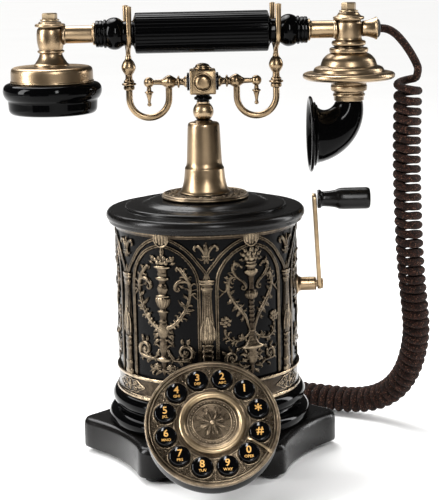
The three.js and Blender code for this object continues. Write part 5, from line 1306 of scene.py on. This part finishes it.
ring_profile = rounded([
    (16.9, 0.35), (21.2, 0.35, 0.2), (21.4, 1.4, 0.6), (20.8, 2.5, 0.8), (19.4, 3, 0.8), (18, 2.7, 0.6),
    (17.3, 1.9, 0.4), (16.9, 1.8, 0.1)], 0.3, 4, closed=True)
make("dial_centre_ring", lathe(ring_profile, 128, closed=True).moved(DIAL_PLACE), "base",
     bright, ["dial_centre"])
medallion = lathe(rounded([
    (0, 0.3), (17.2, 0.3), (17.2, 1.5, 0.1), (15.7, 1.5, 0.1), (15.5, 1.85, 0.1), (15.1, 1.85, 0.1),
    (14.9, 1.5, 0.1), (12.7, 1.5, 0.1), (12.5, 1.85, 0.1), (12.1, 1.85, 0.1), (11.9, 1.5, 0.1), (0, 1.5)],
    0.1, 2), 112)
medallion.add(round_axis(ball(0.42, (13.8, 0, 1.5), 5, 8), 40))
petal = level_stroke([(2.2, 0), (4.4, 0), (6.8, 0), (9, 0)], [0.4, 1.2, 1.35, 0.2], 1.5, 4, 8, rise=0.5)
for side in (-1, 1):
    petal.add(level_stroke([(8.2, side * 1), (9.6, side * 2), (10.9, side * 1.4), (10.6, side * 0.4)],
                           [0.2, 0.35, 0.35, 0.2], 1.5, 3))
medallion.add(round_axis(petal, 8, 22.5))
leaf_between = level_stroke([(3.4, 0), (6, 0), (8, 0)], [0.3, 0.55, 0.15], 1.5, 3)
medallion.add(round_axis(leaf_between, 8))
medallion.add(ball(1.8, (0, 0, 1.2), 8, 20))
make("dial_medallion", medallion.moved(DIAL_PLACE), "base", engraved)

stop = bar(curve([(25.2, 0.9, 0.8), (27.4, 0.5, 2), (31, 0.1, 2.5), (36, -0.3, 2.5), (39.6, -1, 2.2),
                  (41.6, -1.6, 1.5)], 4), [0.9, 0.6, 0.6, 0.7, 1.1, 0.7], 12, flat=0.6,
           facing=Vector((0, 1, 0)))
stop.add(lathe(rounded([(0, 0), (1.3, 0), (1.3, 0.9, 0.3), (0, 1.3)], 0.2), 20).moved(shift(25.2, 0.8, 0)))
make("finger_stop_bar", stop.moved(DIAL_PLACE @ spin(330)), "base", bright,
     ["finger_stop"])

can = lathe(rounded([
    (0, -CAN_DEPTH), (CAN_RADIUS - 3.6, -CAN_DEPTH, 1.4), (CAN_RADIUS - 0.9, 2 - CAN_DEPTH, 1.8),
    (CAN_RADIUS, 5 - CAN_DEPTH, 1.6), (CAN_RADIUS, -1.9, 0.3), (CAN_RADIUS - 1.7, -1.9),
    (CAN_RADIUS - 1.7, -7.4), (0, -7.4)], 0.4, 5), 128).moved(DIAL_PLACE)


def behind(along, depth):
    tilt = math.radians(DIAL_TILT)
    return Vector((DIAL_MIDDLE[0] - depth * math.cos(tilt) + along * math.sin(tilt),
                   DIAL_MIDDLE[1] + depth * math.sin(tilt) + along * math.cos(tilt)))


side_view = [behind(19, 2 - CAN_DEPTH), (-LOW_BEAD - 0.3, DIAL_MIDDLE[1] + 3), (-LOW_BEAD - 0.3, 24.5),
             (-83, 24.5), behind(-19, 2 - CAN_DEPTH)]
centre_view = sum((Vector(p) for p in side_view), Vector((0, 0))) / len(side_view)
bracket_rings = []
for x, shrink in ((-15, 1.2), (-14.6, 0.4), (-13.8, 0), (13.8, 0), (14.6, 0.4), (15, 1.2)):
    ring = []
    for p in (Vector(q) for q in side_view):
        inward = (centre_view - p).normalized() * shrink
        ring.append(Vector((x, p.x + inward.x, p.y + inward.y)))
    bracket_rings.append(ring[::-1])
can.add(skin(bracket_rings))
make("dial_can", can, "base", gloss_black, ["dial_housing"])


def lettering(text, size, across, up, thick):
    data = bpy.data.curves.new("lettering", "FONT")
    data.body, data.size, data.extrude = text, size, thick
    data.align_x, data.align_y = "CENTER", "CENTER"
    data.resolution_u = 3
    data.offset = size * 0.014
    words = bpy.data.objects.new("lettering", data)
    bpy.context.scene.collection.objects.link(words)
    bpy.context.view_layer.update()
    depsgraph = bpy.context.evaluated_depsgraph_get()
    made = bpy.data.meshes.new_from_object(words.evaluated_get(depsgraph))
    shape = Shape([v.co for v in made.vertices], [p.vertices for p in made.polygons])
    bpy.data.objects.remove(words)
    return shape.moved(shift(across, up))


DISH = 2.62
cap_profile = rounded([
    (0, -3.1), (KEY_RADIUS, -3.1), (KEY_RADIUS, 1.5, 0.8), (6.4, 2.7, 0.8), (5.7, KEY_TOP, 0.5),
    (5, 2.95, 0.5), (3.4, DISH + 0.05, 1.2), (0, DISH)], 0.3, 4)
for index, ((digit, letters), body) in enumerate(zip(KEYS, KEY_BODIES)):
    angle = math.radians(45 + 30 * index)
    place = DIAL_PLACE @ shift(KEY_CIRCLE * math.cos(angle), KEY_CIRCLE * math.sin(angle))
    make(f"{body}_cap", lathe(cap_profile, 48).moved(place), body, key_black, [body])
    size, rise = (7.4, 0.2) if not letters else (6.6, 1.3)
    if digit == "*":
        size, rise = 10.4, -1.7
    marks = lettering(digit, size, 0, rise, 0.12)
    if letters:
        marks.add(lettering(letters, 2.5, 0, -3, 0.1))
    make(f"{body}_mark", marks.moved(place @ shift(0, 0, DISH + 0.14)), body, gilt)

# ---------------------------------------------------------------- crank
CRANK_HEIGHT = middle("crank_bush", 2)
CRANK_RADIUS = middle("crank_knob", 2) - CRANK_HEIGHT
bush_end = high("crank_bush", 0)
bush = lathe(rounded([
    (2.9, 55), (4.8, 55), (4.8, WALL + 0.2), (7.2, WALL + 0.3, 0.3), (7.2, WALL + 1.4, 0.4),
    (6.2, WALL + 2, 0.4), (5.4, WALL + 2.6, 0.5), (4.8, WALL + 3.6, 0.4), (4.7, bush_end - 1.2),
    (4.4, bush_end - 0.9, 0.2), (4.7, bush_end - 0.6, 0.2), (4.7, bush_end, 0.3),
    (2.9, bush_end)], 0.3, 3, closed=True),
    56, closed=True)
make("crank_bush_turned", along_x(bush, 0, CRANK_HEIGHT), "base", brushed_x,
     ["crank_bush"])
ARM_IN, ARM_THICK, ARM_HALF, ARM_LEAN = bush_end + 0.8, 2.8, 4, 3
arm_outline = [(-ARM_HALF * math.sin(math.pi * k / 12 - math.pi / 2),
                CRANK_RADIUS + ARM_HALF * math.cos(math.pi * k / 12 - math.pi / 2)) for k in range(13)]
arm_outline += [(-ARM_HALF * math.sin(math.pi * k / 12 + math.pi / 2),
                 ARM_HALF * math.cos(math.pi * k / 12 + math.pi / 2)) for k in range(13)]
arm_rings = []
for x, shrink in ((0, 0.5), (0.15, 0.15), (0.5, 0), (ARM_THICK - 0.5, 0), (ARM_THICK - 0.15, 0.15),
                  (ARM_THICK, 0.5)):
    ring = []
    for y, z in arm_outline:
        scale = 1 - shrink / ARM_HALF
        end = CRANK_RADIUS if z > CRANK_RADIUS / 2 else 0
        ring.append(Vector((ARM_IN + x - ARM_LEAN * z / CRANK_RADIUS, y * scale,
                            CRANK_HEIGHT + end + (z - end) * scale)))
    arm_rings.append(ring)
arm = skin(arm_rings)
make("crank_arm_forged", arm, "crank", antique, ["crank_arm"])
screw = lathe(rounded([(0, 50), (4.4, 50), (4.4, 53), (2.5, 53), (2.5, bush_end + 3.9),
                       (3.8, bush_end + 3.9), (3.7, bush_end + 4.5, 0.4), (2.2, bush_end + 5, 0.6),
                       (0, bush_end + 5.1)], 0.3), 40)
make("crank_shaft_turned", along_x(screw, 0, CRANK_HEIGHT), "crank", antique,
     ["crank_shaft"])
knob_start = low("crank_knob", 0)
knob = lathe(rounded([
    (0, 0), (6.2, 0, 0.5), (6.5, 1.1, 0.6), (6.2, 2.2, 0.4), (5.3, 2.7, 0.4), (5.1, 4, 0.8), (5.5, 9, 1.6),
    (6.1, 12.4, 1), (7.1, 14.4, 1), (7.4, 17, 1.4), (7.4, 33.4, 1), (7, 34.9, 0.8), (6.2, 35.5, 0.4),
    (0, 35.5)], 0.3, 4), 64)
make("crank_knob_turned", along_x(knob, knob_start, CRANK_HEIGHT + CRANK_RADIUS), "crank_knob",
     satin_black, ["crank_knob"])

# ---------------------------------------------------------------- handset cord
CORD_DIAMETER = 5.4
CORD_SIDES = 12
COIL_ROUND = 7.25
TURN_PITCH = 6.5
POINTS_PER_TURN = 22
LOOSE_SHARE, LOOSE_TURNS = 0.5, 1.3
gland_tip = (high("cord_gland", 0), 0, HAND)
LEAD = [gland_tip, (123.2, 0, 286.2), (128.4, 0, 283.2), (133.2, 0, 278.2), (138, 0, 271.6),
        (141.8, 0, 265), (144.2, -0.2, 259.4)]
COIL = [(137.4, 0.6, 254), (137.3, 1, 244), (137.2, 2, 230), (137, 2.6, 212), (137.2, 3.2, 188),
        (138.2, 4.2, 162), (139.6, 5.6, 136), (141.8, 8, 112), (144.4, 12, 92), (146, 17, 76),
        (145.4, 24, 60), (142.6, 32, 44.4), (137.2, 41, 30.8), (129.4, 50.6, 20.6), (119, 59.8, 14),
        (106, 68.4, 10.9), (92, 76.2, 10.4), (77, 84.2, 10.4), (60, 92, 10.4), (43, 97.4, 10.4),
        (27, 99.2, 10.6), (14, 97.4, 11.4), (6, 92.4, 12.4)]
EXIT_TIP = (0, 80.2, 13.6)


def even(points, gap):
    """The same line with points an even gap apart."""
    kept, walked = [points[0]], 0.0
    for before, after in zip(points, points[1:]):
        length = (after - before).length
        while walked + length >= gap * len(kept):
            t = (gap * len(kept) - walked) / length
            kept.append(before.lerp(after, t))
        walked += length
    return kept


coil_axis = even(curve(COIL, 24), TURN_PITCH / POINTS_PER_TURN)
line = [Vector(p) for p in curve(LEAD, 8)]
across = Vector((1, 0, 0))
last = len(coil_axis) - 1
for i, centre in enumerate(coil_axis):
    ahead = (coil_axis[min(i + 1, last)] - coil_axis[max(i - 1, 0)]).normalized()
    across = (across - ahead * across.dot(ahead)).normalized()
    other = ahead.cross(across)
    turns = i / POINTS_PER_TURN
    angle = 2 * math.pi * (turns - LOOSE_SHARE * LOOSE_TURNS * (1 - math.exp(-turns / LOOSE_TURNS)))
    left = (last - i) / POINTS_PER_TURN
    reach = COIL_ROUND * min(1, (left / 1.6) ** 0.7)
    if i >= 3:
        line.append(centre + across * reach * math.cos(angle) - other * reach * math.sin(angle))
line += [Vector((2.4, 88.6, 13)), Vector((0.4, 84.4, 13.5)), Vector(EXIT_TIP)]
joined = curve(line[:56] + line[56:-8], 1) + curve(line[-8:], 4)
cord_line = [joined[0]]
for point in joined[1:]:
    if (point - cord_line[-1]).length > 0.7:
        cord_line.append(point)
for smoothing in range(2):
    cord_line = [cord_line[0]] + [(a + b * 2 + c) / 4 for a, b, c in
                                  zip(cord_line, cord_line[1:], cord_line[2:])] + [cord_line[-1]]


def cord_skin(points, radius, sides):
    """A sleeve round the line, with the distances along it by which the UV map, round and along it in
    diameters, is laid out below.
    """
    count = len(points)
    ahead = [(points[min(i + 1, count - 1)] - points[max(i - 1, 0)]).normalized() for i in range(count)]
    facing = Vector((0, 1, 0))
    rings, distances = [], [0.0]
    for i in range(count):
        facing = (facing - ahead[i] * facing.dot(ahead[i])).normalized()
        other = ahead[i].cross(facing)
        rings.append([points[i] + facing * radius * math.cos(2 * math.pi * k / sides)
                      + other * radius * math.sin(2 * math.pi * k / sides) for k in range(sides)])
        if i:
            distances.append(distances[-1] + (points[i] - points[i - 1]).length)
    return skin(rings), distances


sleeve, distances = cord_skin(cord_line, CORD_DIAMETER / 2, CORD_SIDES)
cord_mesh = bpy.data.meshes.new("handset_cord")
cord_mesh.from_pydata([AXIS + p * MM for p in sleeve.points], [], sleeve.faces)
cord_mesh.materials.append(braid)
cord_mesh.shade_smooth()
layer = cord_mesh.uv_layers.new(name="sleeve")
ring_count = len(cord_line)
for polygon in cord_mesh.polygons:
    corners = list(polygon.vertices)
    sides_here = [v % CORD_SIDES if v < ring_count * CORD_SIDES else 0 for v in corners]
    wraps = max(sides_here) == CORD_SIDES - 1 and min(sides_here) == 0 and len(corners) == 4
    for loop, vertex, side in zip(polygon.loop_indices, corners, sides_here):
        station = min(vertex // CORD_SIDES, ring_count - 1)
        turned_side = side + CORD_SIDES if wraps and side == 0 else side
        layer.data[loop].uv = (turned_side / CORD_SIDES, distances[station] / CORD_DIAMETER)
handset_cord = bpy.data.objects.new("handset_cord", cord_mesh)
bpy.context.scene.collection.objects.link(handset_cord)
print("cord length", distances[-1], "points", ring_count, "faces", len(cord_mesh.polygons))
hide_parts("cord_lead", "cord_coil")
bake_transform(handset_cord)

grommet = lathe(rounded([
    (0, 62), (4.4, 62), (4.4, 69.4), (5.8, 70.2, 0.4), (5.8, 71.8, 0.5), (4.2, 72.4, 0.3),
    (4.2, 73.2, 0.2), (4, 73.5, 0.2), (4, 74.8, 0.2), (3.7, 75, 0.2), (3.8, 75.3, 0.2),
    (3.7, 76.6, 0.2), (3.4, 76.9, 0.2), (3.5, 77.2, 0.2), (3.4, 78.4, 0.2), (3.1, 78.7, 0.2),
    (3.1, 79.6, 0.2), (0, 79.6)], 0.2, 2), 40)
make("cord_grommet_ribbed", grommet.moved(shift(0, 0, EXIT_TIP[2]) @ spin(-90, "X")), "base",
     rubber, ["cord_grommet"])

# ---------------------------------------------------------------- inner parts of the frame that show
for node, finish, slot in (
        ("base_plate", steel, "steel"), ("cradle_spindle", steel, "steel"),
        ("circuit_board", board_green, "board"), ("ringer_gong", bright, "bright_brass"),
        ("hook_switch", plastic_black, "black_plastic"), ("keypad_mat", rubber, "rubber"),
        ("line_jack", plastic_black, "black_plastic"),
        ("receiver_capsule", plastic_black, "black_plastic"),
        ("microphone_capsule", plastic_black, "black_plastic")):
    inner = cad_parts[node]
    inner.data.materials.clear()
    inner.data.materials.append(finish)

# ---------------------------------------------------------------- floor, lights and world
FLOOR_HALF = 80
floor_finish = Finish("pale_floor", Base_Color=(0.91, 0.907, 0.9, 1), Roughness=0.7)
floor_finish.send(Base_Color=floor_finish.mixed(
    floor_finish.ranged(floor_finish.noise(3, 3), 0.3, 0.7, 0.0, 1.0), (0.9, 0.897, 0.89),
    (0.92, 0.917, 0.91)))
floor_mesh = bpy.data.meshes.new("floor")
floor_mesh.from_pydata([(-FLOOR_HALF, -FLOOR_HALF, 0), (FLOOR_HALF, -FLOOR_HALF, 0),
                        (FLOOR_HALF, FLOOR_HALF, 0), (-FLOOR_HALF, FLOOR_HALF, 0)], [], [(0, 1, 2, 3)])
floor_mesh.materials.append(floor_finish.material)
floor = bpy.data.objects.new("floor", floor_mesh)
bpy.context.scene.collection.objects.link(floor)


def standing(azimuth, distance, height):
    """A place at an azimuth to the right of the dial's front, seen from above."""
    angle = math.radians(azimuth)
    return Vector((distance * math.sin(angle), -distance * math.cos(angle), height)) + AXIS


def softbox(name, place, aim_height, width, height, power):
    data = bpy.data.lights.new(name, "AREA")
    data.shape = "RECTANGLE"
    data.size, data.size_y, data.energy = width, height, power
    light = bpy.data.objects.new(name, data)
    light.location = place
    aim = AXIS + Vector((0, 0, aim_height)) - place
    light.rotation_euler = aim.to_track_quat("-Z", "Y").to_euler()
    light.visible_camera = False
    bpy.context.scene.collection.objects.link(light)


def dark_card(name, first, last):
    """A black card that stands round the set, seen only in reflections."""
    mesh = bpy.data.meshes.new(name)
    steps = 8
    points = []
    for k in range(steps + 1):
        azimuth = first + (last - first) * k / steps
        points += [standing(azimuth, CARD_DISTANCE, 0.002), standing(azimuth, CARD_DISTANCE, CARD_HEIGHT)]
    mesh.from_pydata(points, [], [(2 * k, 2 * k + 2, 2 * k + 3, 2 * k + 1) for k in range(steps)])
    mesh.materials.append(card_finish.material)
    card = bpy.data.objects.new(name, mesh)
    for ray in ("camera", "diffuse", "shadow", "transmission"):
        setattr(card, f"visible_{ray}", False)
    bpy.context.scene.collection.objects.link(card)


CARD_DISTANCE, CARD_HEIGHT = 0.8, 0.85
card_finish = Finish("card_black", Base_Color=(0.02, 0.018, 0.016, 1), Roughness=0.9)
for name, first, last in (("left", -54, -12), ("right", 36, 88)):
    dark_card(f"dark_card_{name}", first, last)
softbox("key_softbox", standing(-74, 0.95, 0.55), 0.2, 0.26, 0.8, 15)
softbox("front_strip", standing(10, 1.1, 0.75), 0.2, 0.12, 0.7, 9)
softbox("right_strip", standing(106, 0.9, 0.45), 0.2, 0.16, 0.8, 6.5)
softbox("top_softbox", standing(-150, 0.5, 1.3), 0.1, 0.5, 0.5, 9)
sun_data = bpy.data.lights.new("sky_light", "SUN")
sun_data.energy, sun_data.angle = 3.75, math.radians(50)
sun = bpy.data.objects.new("sky_light", sun_data)
sun.rotation_euler = (math.radians(-28), math.radians(-18), 0)
bpy.context.scene.collection.objects.link(sun)
world = bpy.data.worlds.new("studio")
world.use_nodes = True
world.node_tree.nodes["Background"].inputs["Color"].default_value = (1, 0.98, 0.95, 1)
world.node_tree.nodes["Background"].inputs["Strength"].default_value = 0.05
bpy.context.scene.world = world
bpy.context.scene.view_settings.view_transform = "Standard"
